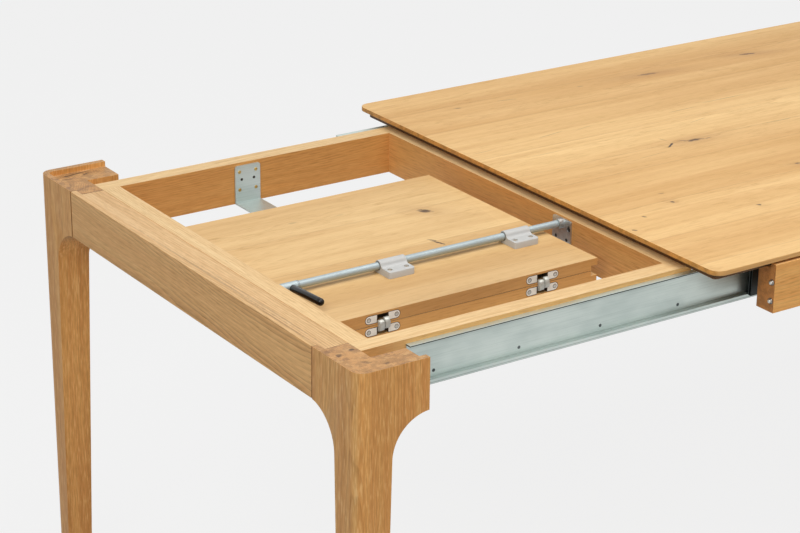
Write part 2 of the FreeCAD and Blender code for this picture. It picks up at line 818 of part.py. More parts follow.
for name, middle in zip(("outer", "inner"), saddle_middles):
    x = (middle - D.saddle_length / 2, middle + D.saddle_length / 2)
    y = (rod_y - D.saddle_front, rod_y + D.saddle_back)
    base_top = leaf_top + D.saddle_base
    crown = rod_z + D.saddle_radius
    shoulder = rod_y - D.saddle_radius
    span = D.saddle_length
    cove = cut(
        box(x, (shoulder - D.saddle_cove, rod_y), (base_top, base_top + D.saddle_cove)),
        rod("x", (x[0] - over, shoulder - D.saddle_cove, base_top + D.saddle_cove), D.saddle_cove,
            span + 2 * over),
        box((x[0] - over, x[1] + over), (shoulder - D.saddle_cove - over, rod_y + over),
            (rod_z, base_top + D.saddle_cove + over)),
    )
    saddle = fuse(
        slab("z", x, y, (leaf_top, base_top), D.saddle_round),
        box(x, (rod_y - D.saddle_radius, rod_y + D.saddle_radius), (leaf_top, rod_z)),
        rod("x", (x[0], rod_y, rod_z), D.saddle_radius, span),
        cove,
    )
    seat_z = base_top - D.saddle_screw_sink
    node(f"saddle_{name}", cut(
        saddle,
        rod("x", (x[0] - over, rod_y, rod_z), rod_hole, span + 2 * over),
        *saddle_screw_rods(middle, leaf_top - over, D.saddle_screw + D.screw_play, D.saddle_base + 2 * over),
        *saddle_screw_rods(middle, seat_z, D.saddle_screw_head + D.screw_play, crown - seat_z),
    ))
    node(f"saddle_screws_{name}", fuse(
        *saddle_screw_rods(middle, leaf_top - D.saddle_screw_depth, D.saddle_screw,
                           D.saddle_screw_depth + D.saddle_base - D.saddle_screw_sink),
        *saddle_screw_rods(middle, seat_z, D.saddle_screw_head, D.saddle_screw_sink / 2),
    ))


# --- check and write ---------------------------------------------------------------------------

doc.recompute()
for piece in doc.Objects:
    wrong = {"Invalid", "Error"} & set(piece.State)
    if wrong:
        raise RuntimeError(f"{piece.Label} ({piece.Name}): {sorted(wrong)}")
os.makedirs("parts", exist_ok=True)
for piece in nodes:
    shape = piece.Shape
    if shape.isNull() or not shape.isValid() or not shape.Solids:
        raise RuntimeError(f"{piece.Label} has no valid solid")
    shape.exportStep(f"parts/{piece.Label}.step")
    size = shape.BoundBox
    print(f"{piece.Label:22s} solids {len(shape.Solids)} volume {shape.Volume:12.1f} "
          f"x {size.XMin:8.1f} {size.XMax:8.1f} y {size.YMin:7.1f} {size.YMax:7.1f} "
          f"z {size.ZMin:6.1f} {size.ZMax:6.1f}")
print(len(nodes), "sub-parts")
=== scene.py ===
"""Looks of an extension dining table: oiled oak, zinc plated slides and fittings, soft studio light."""

import logging
import math
from dataclasses import dataclass, field
from enum import Enum
from typing import Any, Sequence, Union

import bmesh
import bpy
from mathutils import Matrix, Vector


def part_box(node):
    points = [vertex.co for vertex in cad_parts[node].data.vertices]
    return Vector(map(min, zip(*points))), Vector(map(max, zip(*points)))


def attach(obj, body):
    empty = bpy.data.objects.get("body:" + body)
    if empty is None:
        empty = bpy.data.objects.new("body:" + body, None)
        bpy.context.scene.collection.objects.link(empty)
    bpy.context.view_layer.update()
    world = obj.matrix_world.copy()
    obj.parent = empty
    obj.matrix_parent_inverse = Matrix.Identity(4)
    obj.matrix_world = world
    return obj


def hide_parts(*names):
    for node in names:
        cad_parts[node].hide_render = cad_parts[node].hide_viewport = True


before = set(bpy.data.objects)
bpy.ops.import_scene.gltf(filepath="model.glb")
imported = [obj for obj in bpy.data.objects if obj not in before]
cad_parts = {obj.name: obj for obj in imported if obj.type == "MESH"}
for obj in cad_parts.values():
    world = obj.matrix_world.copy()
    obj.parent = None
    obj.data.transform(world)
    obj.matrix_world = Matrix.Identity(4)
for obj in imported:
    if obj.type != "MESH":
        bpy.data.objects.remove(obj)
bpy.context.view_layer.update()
MM = 0.001
WELD = 0.002 * MM
FLAT = 0.6
ORIGIN = (0.0, 0.0, 0.0)
UP = Vector((0.0, 0.0, 1.0))
RIGHT = Vector((1.0, 0.0, 0.0))
LEFT = Vector((-1.0, 0.0, 0.0))
NEAR = Vector((0.0, -1.0, 0.0))
LOG = logging.getLogger("table")

Colour = tuple[float, float, float]
Socket = Union[bpy.types.NodeSocket, float, int, tuple]
Profile = Sequence[tuple[float, float]]


# --- words for building node trees ---------------------------------------------------------------

class Graph:
    """Short words for adding nodes to one node tree."""

    def __init__(self, tree: bpy.types.NodeTree) -> None:
        """Keep the tree that the nodes go into."""
        self.tree = tree

    def feed(self, socket: bpy.types.NodeSocket, value: Socket) -> None:
        """Link a socket to another, or give it a constant.

        Args:
            socket: the input.
            value: an output socket, or a plain value.
        """
        if isinstance(value, bpy.types.NodeSocket):
            self.tree.links.new(value, socket)
        else:
            socket.default_value = value

    def add(self, kind: str, *values: Socket, **settings: Any) -> bpy.types.Node:
        """Add a node.

        Args:
            kind: the node's type name.
            values: what its first inputs get, in their order.
            settings: its properties.

        Returns:
            The new node.
        """
        node = self.tree.nodes.new(kind)
        for key, value in settings.items():
            setattr(node, key, value)
        for socket, value in zip(node.inputs, values):
            self.feed(socket, value)
        return node

    def fill(self, node: bpy.types.Node, **values: Socket) -> bpy.types.Node:
        """Feed some of a node's inputs by name.

        Args:
            node: the node.
            values: what each named input gets, with _ for a space in its name.

        Returns:
            The same node.
        """
        for name, value in values.items():
            self.feed(node.inputs[name.replace("_", " ")], value)
        return node

    def math(self, operation: str, *values: Socket, clamp: bool = False) -> bpy.types.NodeSocket:
        """The result of a Math node."""
        return self.add("ShaderNodeMath", *values, operation=operation, use_clamp=clamp).outputs[0]

    def plus(self, first: Socket, second: Socket) -> bpy.types.NodeSocket:
        """The sum of two numbers."""
        return self.math("ADD", first, second)

    def times(self, first: Socket, second: Socket) -> bpy.types.NodeSocket:
        """The product of two numbers."""
        return self.math("MULTIPLY", first, second)

    def linear(self, value: Socket, slope: Socket, start: Socket) -> bpy.types.NodeSocket:
        """A number times slope, plus start."""
        return self.math("MULTIPLY_ADD", value, slope, start)

    def vector(self, operation: str, *values: Socket) -> bpy.types.NodeSocket:
        """The result of a Vector Math node."""
        node = self.add("ShaderNodeVectorMath", *values, operation=operation)
        return node.outputs["Value" if operation == "LENGTH" else "Vector"]

    def scaled(self, vector: Socket, factor: Socket) -> bpy.types.NodeSocket:
        """A vector times one number."""
        node = self.add("ShaderNodeVectorMath", vector, operation="SCALE")
        return self.fill(node, Scale=factor).outputs["Vector"]

    def parts(self, vector: Socket) -> list[bpy.types.NodeSocket]:
        """The three numbers of a vector."""
        return list(self.add("ShaderNodeSeparateXYZ", vector).outputs)

    def join(self, *values: Socket) -> bpy.types.NodeSocket:
        """One vector of three numbers."""
        return self.add("ShaderNodeCombineXYZ", *values).outputs[0]

    def noise(self, place: Socket, stretch: Sequence[float], detail: float = 2.0,
              roughness: float = 0.5, output: str = "Fac") -> bpy.types.NodeSocket:
        """Noise of its own scale along each axis.

        Args:
            place: coordinates in metres.
            stretch: cycles per metre along x, y and z.
            detail: octaves.
            roughness: how much the finer octaves count.
            output: Fac, or Color for three numbers at once.

        Returns:
            The noise value, about 0 to 1.
        """
        node = self.fill(self.add("ShaderNodeTexNoise"), Scale=1.0, Detail=detail, Roughness=roughness,
                         Vector=self.vector("MULTIPLY", place, tuple(stretch)))
        return node.outputs[output]

    def wobble(self, place: Socket, stretch: Sequence[float], detail: float,
               roughness: float = 0.5) -> bpy.types.NodeSocket:
        """A vector of noise round 0."""
        cloud = self.noise(place, stretch, detail, roughness, "Color")
        return self.vector("SUBTRACT", cloud, (0.5, 0.5, 0.5))

    def ease(self, value: Socket, low: Socket, high: Socket, start: float = 0.0,
             end: float = 1.0) -> bpy.types.NodeSocket:
        """A smooth step from start to end as value goes from low to high."""
        return self.add("ShaderNodeMapRange", value, low, high, start, end,
                        interpolation_type="SMOOTHSTEP").outputs["Result"]

    def blend(self, factor: Socket, first: Socket, second: Socket,
              mode: str = "MIX") -> bpy.types.NodeSocket:
        """Mix two colours.

        Args:
            factor: how much of the second.
            first: the colour below.
            second: the colour above.
            mode: the blend mode.

        Returns:
            The mixed colour.
        """
        node = self.add("ShaderNodeMix", factor, data_type="RGBA", blend_type=mode)
        sockets = [s for s in node.inputs if s.type == "RGBA"]
        for socket, value in zip(sockets, (first, second)):
            self.feed(socket, (*value, 1.0) if isinstance(value, tuple) else value)
        return next(s for s in node.outputs if s.type == "RGBA")

    def layered(self, colour: Socket, *layers: tuple) -> Socket:
        """Lay colours over a colour, one after another.

        Args:
            colour: the colour below.
            layers: each layer's mask and colour, and its blend mode where it isn't MIX.

        Returns:
            The colour with all layers.
        """
        for mask, tint, *mode in layers:
            colour = self.blend(mask, colour, tint, *mode)
        return colour

    def group(self, tree: bpy.types.NodeTree, **values: Socket) -> Any:
        """The outputs of a node group that is given its inputs by name."""
        return self.fill(self.add("ShaderNodeGroup", node_tree=tree), **values).outputs


def shader_group(name: str, inputs: dict[str, Socket], outputs: Sequence[str]) -> tuple:
    """Start a shader node group with named sockets.

    Args:
        name: the group's name.
        inputs: each input's name and first value, a number or a vector.
        outputs: the names of its outputs, all numbers.

    Returns:
        The group, its graph, a dictionary of its inputs and its output node.
    """
    tree = bpy.data.node_groups.new(name, "ShaderNodeTree")
    for title, value in inputs.items():
        kind = "NodeSocketVector" if isinstance(value, tuple) else "NodeSocketFloat"
        socket = tree.interface.new_socket(title, in_out="INPUT", socket_type=kind)
        socket.default_value = value
    for title in outputs:
        tree.interface.new_socket(title, in_out="OUTPUT", socket_type="NodeSocketFloat")
    graph = Graph(tree)
    return tree, graph, graph.add("NodeGroupInput").outputs, graph.add("NodeGroupOutput")


# --- shared effects of wood and metal ------------------------------------------------------------

class Stretch(Enum):
    """How often each kind of mark comes in a metre, along, across and through the piece."""

    WANDER = (1.5, 7.0, 7.0)
    RIPPLE = (9.0, 60.0, 60.0)
    VIGOUR = (0.9, 16.0, 16.0)
    PORE = (42.0, 700.0, 700.0)
    FIBRE = (5.0, 240.0, 240.0)
    TONE = (0.9, 15.0, 15.0)
    STREAK = (1.1, 75.0, 75.0)
    FLECK = (38.0, 420.0, 420.0)
    KNOT_RIM = (90.0, 220.0, 220.0)
    END_CLOUD = (70.0, 70.0, 70.0)
    END_PIT = (900.0, 900.0, 900.0)
    END_BLOTCH = (42.0, 60.0, 50.0)
    ZINC_CLOUD = (9.0, 22.0, 22.0)
    ZINC_LINE = (9.0, 900.0, 900.0)
    ZINC_SPECK = (420.0, 420.0, 420.0)
    PLASTIC_CLOUD = (30.0, 30.0, 30.0)


class Stain(Enum):
    """Colours that all the boards share, linear."""

    PALE_FLECK = (0.95, 0.72, 0.42)
    PORE = (0.24, 0.10, 0.027)
    SEAM = (0.25, 0.12, 0.045)
    HALO = (0.36, 0.17, 0.06)
    KNOT = (0.045, 0.024, 0.014)
    # near black for the painted shade in grooves and gaps between parts
    GAP_SHADE = (0.06, 0.024, 0.007)
    END_RING = (0.22, 0.10, 0.04)
    END_PIT = (0.14, 0.065, 0.03)
    END_DARK = (0.16, 0.075, 0.04)
    END_PALE = (0.66, 0.40, 0.18)


@dataclass(frozen=True)
class Growth:
    """How a board lay in its tree, in metres, and how uneven its rings are."""

    throw: float = 9.0
    sway: float = 0.07
    aside: float = 0.09
    nearest: float = 0.03
    deeper: float = 0.07
    lean: float = 0.08
    ripple: float = 1.1

    def figure_group(self) -> bpy.types.NodeTree:
        """Rings, pores, fibres and tone of a board, in coordinates whose x runs along the grain.

        Returns:
            A group with the outputs Figure, Pores, Fibre, Tone, Streak and Fleck.
        """
        tree, g, given, out = shader_group(
            "grain_figure", {"Vector": ORIGIN, "Spacing": 0.004, "Seed": 0.0, "Swell": 0.0},
            ("Figure", "Pores", "Fibre", "Tone", "Streak", "Fleck"))
        chance = g.fill(g.add("ShaderNodeTexWhiteNoise", noise_dimensions="1D"),
                        W=given["Seed"]).outputs["Color"]
        place = g.vector("ADD", given["Vector"], g.scaled(chance, self.throw))
        wander = g.wobble(place, Stretch.WANDER.value, 2.5)
        _, sway, heave = g.parts(g.vector("MULTIPLY", wander, (0.0, self.sway, self.sway)))
        along, across, depth = g.parts(given["Vector"])
        off_side, below, lean = g.parts(chance)
        side = g.plus(g.plus(across, sway), g.linear(off_side, self.aside, -self.aside / 2))
        deep = g.plus(g.plus(depth, heave), g.linear(below, self.deeper, self.nearest))
        deep = g.plus(deep, g.times(along, g.linear(lean, self.lean, -self.lean / 2)))
        radius = g.plus(g.vector("LENGTH", g.join(0.0, side, deep)), given["Swell"])
        ripple = g.times(g.noise(place, Stretch.RIPPLE.value), self.ripple)
        saw = g.math("FRACT", g.plus(g.math("DIVIDE", radius, given["Spacing"]), ripple))
        falling = g.math("POWER", g.math("SUBTRACT", 1.0, saw, clamp=True), 2.0)
        vigour = g.ease(g.noise(place, Stretch.VIGOUR.value, 1.0), 0.3, 0.75, 0.2, 1.0)
        figure = g.times(g.math("MAXIMUM", falling, g.ease(saw, 0.86, 1.0)), vigour)
        pore = g.ease(g.noise(place, Stretch.PORE.value, 1.0, 0.4), 0.55, 0.68)
        g.fill(out, Figure=figure, Pores=g.times(pore, g.linear(figure, 0.7, 0.3)),
               Fibre=g.noise(place, Stretch.FIBRE.value, 3.0, 0.6),
               Tone=g.ease(g.noise(place, Stretch.TONE.value, 2.5, 0.55), 0.32, 0.68),
               Streak=g.ease(g.noise(place, Stretch.STREAK.value), 0.35, 0.70),
               Fleck=g.noise(place, Stretch.FLECK.value, 2.0, 0.6))
        return tree


def make_knot_group() -> bpy.types.NodeTree:
    """One knot or check: a dark core and the halo where the grain swells round it.

    Returns:
        A group with the outputs Core and Halo.
    """
    tree, g, given, out = shader_group(
        "knot_mark", {"Vector": ORIGIN, "Centre": ORIGIN, "Reach": (0.01, 0.01, 1.0), "Slant": 0.0},
        ("Core", "Halo"))
    turn = g.fill(g.add("ShaderNodeVectorRotate", rotation_type="Z_AXIS"),
                  Vector=g.vector("SUBTRACT", given["Vector"], given["Centre"]),
                  Angle=g.times(given["Slant"], -1.0))
    uneven = g.wobble(given["Vector"], Stretch.KNOT_RIM.value, 2.0, 0.6)
    span = g.vector("DIVIDE", turn.outputs[0], given["Reach"])
    distance = g.vector("LENGTH", g.vector("ADD", span, g.scaled(uneven, 1.5)))
    far = g.math("POWER", g.vector("LENGTH", span), 2.0)
    g.fill(out, Core=g.ease(distance, 1.15, 0.45), Halo=g.math("EXPONENT", g.times(far, -0.09)))
    return tree


def make_stave_group() -> bpy.types.NodeTree:
    """Boards glued edge to edge, of uneven widths.

    Returns:
        A group with the outputs Local, Chance and Seam.
    """
    tree, g, given, out = shader_group(
        "stave_split", {"Across": 0.0, "Width": 0.1, "Seed": 0.0}, ("Local", "Chance", "Seam"))
    width = given["Width"]
    cell = g.plus(g.math("DIVIDE", given["Across"], width), given["Seed"])
    nearest, edge = (g.fill(g.add("ShaderNodeTexVoronoi", voronoi_dimensions="1D", feature=feature),
                            W=cell, Scale=1.0, Randomness=0.8).outputs
                     for feature in ("F1", "DISTANCE_TO_EDGE"))
    g.fill(out, Local=g.times(g.math("SUBTRACT", cell, nearest["W"]), width),
           Chance=g.parts(nearest["Color"])[0],
           Seam=g.ease(g.times(edge["Distance"], width), 1.1 * MM, 0.2 * MM))
    return tree


def make_crease_group() -> bpy.types.NodeTree:
    """A thin line of painted shade at one level of a coordinate.

    Returns:
        A group with the output Mask.
    """
    tree, g, given, out = shader_group(
        "crease_line", {"Coordinate": 0.0, "Level": 0.0, "Reach": 0.001, "Core": 0.3}, ("Mask",))
    off = g.math("ABSOLUTE", g.math("SUBTRACT", given["Coordinate"], given["Level"]))
    g.fill(out, Mask=g.ease(g.math("DIVIDE", off, given["Reach"]), 1.0, given["Core"]))
    return tree


def make_facing_group() -> bpy.types.NodeTree:
    """Which of the three axes a surface looks along, from the piece's own normals.

    Returns:
        A group with the outputs X, Y and Z.
    """
    tree, g, given, out = shader_group("facing", {"Normal": (0.0, 0.0, 1.0)}, ("X", "Y", "Z"))
    shares = g.parts(g.vector("ABSOLUTE", given["Normal"]))
    g.fill(out, **{axis: g.ease(share, 0.5, 0.87) for axis, share in zip("XYZ", shares)})
    return tree


def make_mottle_group() -> bpy.types.NodeTree:
    """Clouded zinc plating with fine rolling marks along x.

    Returns:
        A group with the outputs Cloud, Lines and Specks.
    """
    tree, g, given, out = shader_group("zinc_mottle", {"Vector": ORIGIN}, ("Cloud", "Lines", "Specks"))
    place = given["Vector"]
    g.fill(out, Cloud=g.ease(g.noise(place, Stretch.ZINC_CLOUD.value, 3.0, 0.6), 0.3, 0.7),
           Lines=g.noise(place, Stretch.ZINC_LINE.value, 2.0, 0.6),
           Specks=g.ease(g.noise(place, Stretch.ZINC_SPECK.value, 1.0), 0.66, 0.74))
    return tree


FIGURE = Growth().figure_group()
KNOT = make_knot_group()
STAVES = make_stave_group()
CREASE = make_crease_group()
FACING = make_facing_group()
MOTTLE = make_mottle_group()


def start_material(name: str) -> tuple[bpy.types.Material, Graph, bpy.types.Node, Any]:
    """Begin a material with one Principled shader.

    Args:
        name: the material's name.

    Returns:
        The material, its graph, the shader and the coordinate node's outputs.
    """
    material = bpy.data.materials.new(name)
    material.use_nodes = True
    g = Graph(material.node_tree)
    shader = material.node_tree.nodes["Principled BSDF"]
    return material, g, shader, g.add("ShaderNodeTexCoord").outputs


def add_bump(g: Graph, shader: bpy.types.Node, height: Socket, depth: float, strength: float) -> None:
    """Give a shader fine relief; depth is in metres from height 0 to height 1."""
    bump = g.fill(g.add("ShaderNodeBump"), Strength=strength, Distance=depth, Height=height)
    g.fill(shader, Normal=bump.outputs[0])


# --- finishes ------------------------------------------------------------------------------------

class Grain(Enum):
    """The table's axes in the order along the grain, across the board, through the board."""

    ALONG = (0, 1, 2)
    ACROSS = (1, 0, 2)
    UPRIGHT = (2, 1, 0)


@dataclass(frozen=True)
class Knot:
    """A knot or check: its middle, half sizes and swell in millimetres, and its slant in degrees."""

    x: float
    y: float
    along: float
    across: float
    slant: float = 0.0
    dark: float = 1.0
    swell: float = 0.0
    halo: float = 0.5


@dataclass(frozen=True)
class Crease:
    """A line of painted shade at one level of one axis; sizes in metres."""

    axis: int
    level: float
    reach: float = 0.9 * MM
    dark: float = 0.7
    core: float = 0.3

    def mask(self, g: Graph, place: Socket, mirror: bool = False) -> bpy.types.NodeSocket:
        """Add the line's mask.

        Args:
            g: the material's graph.
            place: the piece's coordinates.
            mirror: whether the line is on both sides of the table's middle.

        Returns:
            The mask, 0 off the line.
        """
        coordinate = g.parts(place)[self.axis]
        if mirror:
            coordinate = g.math("ABSOLUTE", coordinate)
        line = g.group(CREASE, Coordinate=coordinate, Level=self.level, Reach=self.reach, Core=self.core)
        return g.times(line["Mask"], self.dark)


@dataclass(frozen=True)
class Oak:
    """Oiled oak of one piece; colours are linear, sizes are in metres."""

    name: str
    grain: Grain
    seed: float
    light: Colour = (0.80, 0.46, 0.19)
    dark: Colour = (0.62, 0.34, 0.125)
    line: Colour = (0.36, 0.185, 0.062)
    end: Colour = (0.56, 0.30, 0.115)
    end_shade: float = 0.72
    # The two multipliers below darken and warm faces that look along x or y: painted shade on upright
    # faces.
    side_shade_x: Colour = (1.02, 0.98, 0.82)
    side_shade_y: Colour = (1.08, 0.94, 0.68)
    spacing: float = 0.0042
    stave: float = 0.0
    stave_step: float = 31.0
    contrast: float = 0.35
    streaks: float = 0.25
    fibres: float = 0.16
    flecks: float = 0.22
    pores: float = 0.32
    seams: float = 0.30
    blotch: float = 0.48
    rough: float = 0.42
    gloss: float = 0.35
    relief: float = 0.12 * MM
    knots: tuple[Knot, ...] = ()
    # painted shade lines in grooves and gaps between parts
    joints: tuple[Crease, ...] = ()

    def material(self) -> bpy.types.Material:
        """Build the board's material.

        Returns:
            The material, whose grain runs along the chosen axis.
        """
        material, g, shader, given = start_material(self.name)
        place = given["Object"]
        axes = g.parts(place)
        along, across, depth = (axes[i] for i in self.grain.value)
        seed: Socket = self.seed
        shade: Socket = 0.5
        seam: Socket = 0.0
        if self.stave:
            across, shade, seam = g.group(STAVES, Across=across, Width=self.stave, Seed=self.seed)
            seed = g.linear(shade, self.stave_step, self.seed)
        core, halo, swell = self._knots(g, place)
        figure, pores, fibre, tone, streak, fleck = g.group(
            FIGURE, Vector=g.join(along, across, depth), Spacing=self.spacing, Seed=seed, Swell=swell)
        facing = g.group(FACING, Normal=given["Normal"])
        colour = g.layered(
            g.blend(g.linear(tone, 0.5, g.times(shade, 0.5)), self.light, self.dark),
            (g.times(streak, self.streaks), self.dark, "MULTIPLY"),
            (g.times(figure, self.contrast), self.line),
            (g.ease(fibre, 0.35, 0.75, 0.0, self.fibres), self.line),
            (g.ease(fleck, 0.46, 0.74, 0.0, self.flecks), self.line),
            (g.ease(fleck, 0.50, 0.26, 0.0, self.flecks), Stain.PALE_FLECK.value),
            (g.times(pores, self.pores), Stain.PORE.value),
            (g.times(seam, self.seams), Stain.SEAM.value),
            # painted shade on faces that look along x and y
            (facing["X"], self.side_shade_x, "MULTIPLY"),
            (facing["Y"], self.side_shade_y, "MULTIPLY"),
            (facing[self.grain.value[0]], self._end_grain(g, place, figure)),
            (g.times(halo, 0.5), Stain.HALO.value),
            (core, Stain.KNOT.value))
        upright = g.math("SUBTRACT", 1.0, facing["Z"])
        # painted shade in grooves and gaps between parts, kept off faces that look up
        for gap_shade in self.joints:
            line = gap_shade.mask(g, place, True)
            if gap_shade.axis == 2:
                line = g.times(line, upright)
            colour = g.blend(line, colour, Stain.GAP_SHADE.value)
        rough = g.linear(pores, 0.2, g.linear(fibre, 0.16, self.rough))
        g.fill(shader, Base_Color=colour, Roughness=rough, Specular_IOR_Level=self.gloss)
        relief = g.linear(core, -2.5, g.linear(fibre, 0.35, g.times(pores, -1.0)))
        add_bump(g, shader, relief, self.relief, 0.5)
        return material

    def _end_grain(self, g: Graph, place: Socket, figure: Socket) -> Socket:
        """The colour of the faces that cut across the grain, with rings, pits and blotches.

        Args:
            g: the material's graph.
            place: the piece's coordinates.
            figure: the growth rings.

        Returns:
            The colour.
        """
        cloud = g.noise(place, Stretch.END_CLOUD.value, 3.0, 0.6)
        pits = g.noise(place, Stretch.END_PIT.value, 1.0)
        blotch = g.noise(place, Stretch.END_BLOTCH.value, 3.0, 0.7)
        shaded = tuple(self.end_shade * c for c in self.end)
        return g.layered(
            g.blend(g.ease(cloud, 0.40, 0.62), self.end, shaded),
            (g.times(figure, 0.45), Stain.END_RING.value),
            (g.ease(pits, 0.55, 0.70, 0.0, 0.5), Stain.END_PIT.value),
            (g.ease(blotch, 0.58, 0.64, 0.0, self.blotch), Stain.END_DARK.value),
            (g.ease(blotch, 0.45, 0.36, 0.0, self.blotch), Stain.END_PALE.value))

    def _knots(self, g: Graph, place: Socket) -> tuple[Socket, Socket, Socket]:
        """Add this piece's knots.

        Args:
            g: the material's graph.
            place: the piece's coordinates.

        Returns:
            The core mask, the halo mask and how far the rings swell, in metres.
        """
        core: Socket = 0.0
        halo: Socket = 0.0
        swell: Socket = 0.0
        for knot in self.knots:
            mark = g.group(KNOT, Vector=place, Centre=(knot.x * MM, knot.y * MM, 0.0),
                           Reach=(knot.along * MM, knot.across * MM, 9.0), Slant=math.radians(knot.slant))
            core = g.math("MAXIMUM", core, g.times(mark["Core"], knot.dark))
            if knot.swell:
                halo = g.math("MAXIMUM", halo, g.times(mark["Halo"], knot.dark * knot.halo))
                swell = g.linear(mark["Halo"], knot.swell * MM, swell)
        return core, halo, swell


@dataclass(frozen=True)
class Zinc:
    """Zinc plated steel or casting; colours are linear."""

    name: str
    bright: Colour = (0.64, 0.71, 0.67)
    dull: Colour = (0.54, 0.615, 0.585)
    rough: float = 0.36
    metallic: float = 0.85
    lines: float = 0.10
    # colour of the painted shade lines along creases
    crease_shade: Colour = (0.03, 0.035, 0.035)
    relief: float = 0.02 * MM
    creases: tuple[Crease, ...] = ()

    def material(self) -> bpy.types.Material:
        """Build the plated metal's material.

        Returns:
            The material.
        """
        material, g, shader, given = start_material(self.name)
        place = given["Object"]
        cloud, lines, specks = g.group(MOTTLE, Vector=place)
        colour = g.layered(
            g.blend(cloud, self.bright, self.dull),
            (g.times(specks, 0.35), self.dull),
            (g.ease(lines, 0.45, 0.75, 0.0, 0.25), self.dull, "MULTIPLY"),
            # painted shade along the creases
            *((crease.mask(g, place), self.crease_shade) for crease in self.creases))
        rough = g.linear(lines, self.lines, g.linear(cloud, 0.14, self.rough - 0.07))
        g.fill(shader, Base_Color=colour, Roughness=rough, Metallic=self.metallic)
        add_bump(g, shader, g.linear(lines, 0.4, specks), self.relief, 0.5)
        return material


@dataclass(frozen=True)
class Moulded:
    """Moulded plastic or rubber; the colour is linear and the relief in millimetres."""

    name: str
    colour: Colour
    rough: float = 0.45
    texture: float = 900.0
    relief: float = 0.03
    patchy: float = 0.14
    gloss: float = 0.5

    def material(self) -> bpy.types.Material:
        """Build the moulded piece's material.

        Returns:
            The material.
        """
        material, g, shader, given = start_material(self.name)
        grain = g.noise(given["Object"], (self.texture,) * 3, 2.0, 0.6)
        cloud = g.noise(given["Object"], Stretch.PLASTIC_CLOUD.value)
        shade = tuple((1.0 - self.patchy) * c for c in self.colour)
        g.fill(shader, Base_Color=g.blend(cloud, self.colour, shade),
               Roughness=g.linear(grain, 0.2, self.rough - 0.1), Specular_IOR_Level=self.gloss)
        add_bump(g, shader, grain, self.relief * MM, 0.6)
        return material


# --- words for building pieces -------------------------------------------------------------------

@dataclass(frozen=True)
class Edge:
    """How far back edges are eased in metres, in how many faces, and from how many degrees on."""

    radius: float
    segments: int = 3
    angle: float = 28.0


@dataclass(frozen=True)
class Head:
    """A domed screw head's radius and height in metres."""

    radius: float
    rise: float


def linked(name: str, data: bpy.types.ID) -> bpy.types.Object:
    """Put data into the scene.

    Args:
        name: the object's name.
        data: its mesh, lamp or camera.

    Returns:
        The new object, at the origin.
    """
    thing = bpy.data.objects.new(name, data)
    bpy.context.scene.collection.objects.link(thing)
    return thing


def plain_mesh(name: str, shape: bmesh.types.BMesh) -> bpy.types.Mesh:
    """Turn a bmesh into a mesh.

    Args:
        name: the mesh's name.
        shape: the bmesh, which is freed.

    Returns:
        The new mesh.
    """
    mesh = bpy.data.meshes.new(name)
    shape.to_mesh(mesh)
    shape.free()
    return mesh


def new_piece(name: str, mesh: bpy.types.Mesh, material: bpy.types.Material,
              smooth_angle: float = 35.0) -> bpy.types.Object:
    """Link a mesh as a piece at the origin.

    Args:
        name: the piece's name.
        mesh: its finished mesh.
        material: its finish.
        smooth_angle: edges sharper than this many degrees stay crisp.

    Returns:
        The new object.
    """
    mesh.materials.clear()
    mesh.materials.append(material)
    mesh.polygons.foreach_set("material_index", [0] * len(mesh.polygons))
    mesh.polygons.foreach_set("use_smooth", [True] * len(mesh.polygons))
    mesh.set_sharp_from_angle(angle=math.radians(smooth_angle))
    mesh.name = name
    return linked(name, mesh)


def drawn(name: str, shape: bmesh.types.BMesh, material: bpy.types.Material) -> bpy.types.Object:
    """Turn a finished bmesh into a piece with its faces looking outwards."""
    bmesh.ops.recalc_face_normals(shape, faces=shape.faces)
    return new_piece(name, plain_mesh(name, shape), material)


def settled(piece: bpy.types.Object) -> bpy.types.Object:
    """Turn a piece's modifiers into plain mesh.

    Args:
        piece: an object with modifiers.

    Returns:
        The same object, with none.
    """
    graph = bpy.context.evaluated_depsgraph_get()
    mesh = bpy.data.meshes.new_from_object(piece.evaluated_get(graph))
    piece.modifiers.clear()
    piece.data = mesh
    return piece


def eased(piece: bpy.types.Object, edge: Edge) -> bpy.types.Object:
    """Round a piece's edges, as sanding, casting or pressing leaves them.

    Args:
        piece: the piece.
        edge: how its edges are eased.

    Returns:
        The same piece.
    """
    ease = piece.modifiers.new("eased_edges", "BEVEL")
    ease.width = edge.radius
    ease.segments = edge.segments
    ease.limit_method = "ANGLE"
    ease.angle_limit = math.radians(edge.angle)
    ease.use_clamp_overlap = True
    ease.harden_normals = True
    return settled(piece)


def lathed(name: str, material: bpy.types.Material, profile: Profile, sides: int = 40,
           start: Vector = Vector(), direction: Vector = UP) -> bpy.types.Object:
    """A turned piece.

    Args:
        name: the piece's name.
        material: its finish.
        profile: (distance along the axis, radius) in millimetres; a radius of 0 closes an end.
        sides: faces round it.
        start: a point on its axis, where the profile's distances begin.
        direction: along its axis.

    Returns:
        The new piece.
    """
    axis = direction.normalized()
    side = axis.orthogonal().normalized()
    up = axis.cross(side)
    shape = bmesh.new()
    rings = []
    for distance, radius in profile:
        centre = start + axis * distance * MM
        angles = (2 * math.pi * i / sides for i in range(sides if radius else 1))
        rings.append([shape.verts.new(centre + radius * MM * (side * math.cos(a) + up * math.sin(a)))
                      for a in angles])
    for lower, upper in zip(rings, rings[1:]):
        for i in range(sides):
            j = (i + 1) % sides
            ring = [lower[i % len(lower)], lower[j % len(lower)],
                    upper[j % len(upper)], upper[i % len(upper)]]
            shape.faces.new(list(dict.fromkeys(ring)))
    return drawn(name, shape, material)


def disc(name: str, material: bpy.types.Material, low: float, high: float, radius: float,
         sides: int, start: Vector = Vector()) -> bpy.types.Object:
    """A closed upright cylinder from low to high above start, in millimetres."""
    return lathed(name, material, ((low, 0), (low, radius), (high, radius), (high, 0)), sides, start)


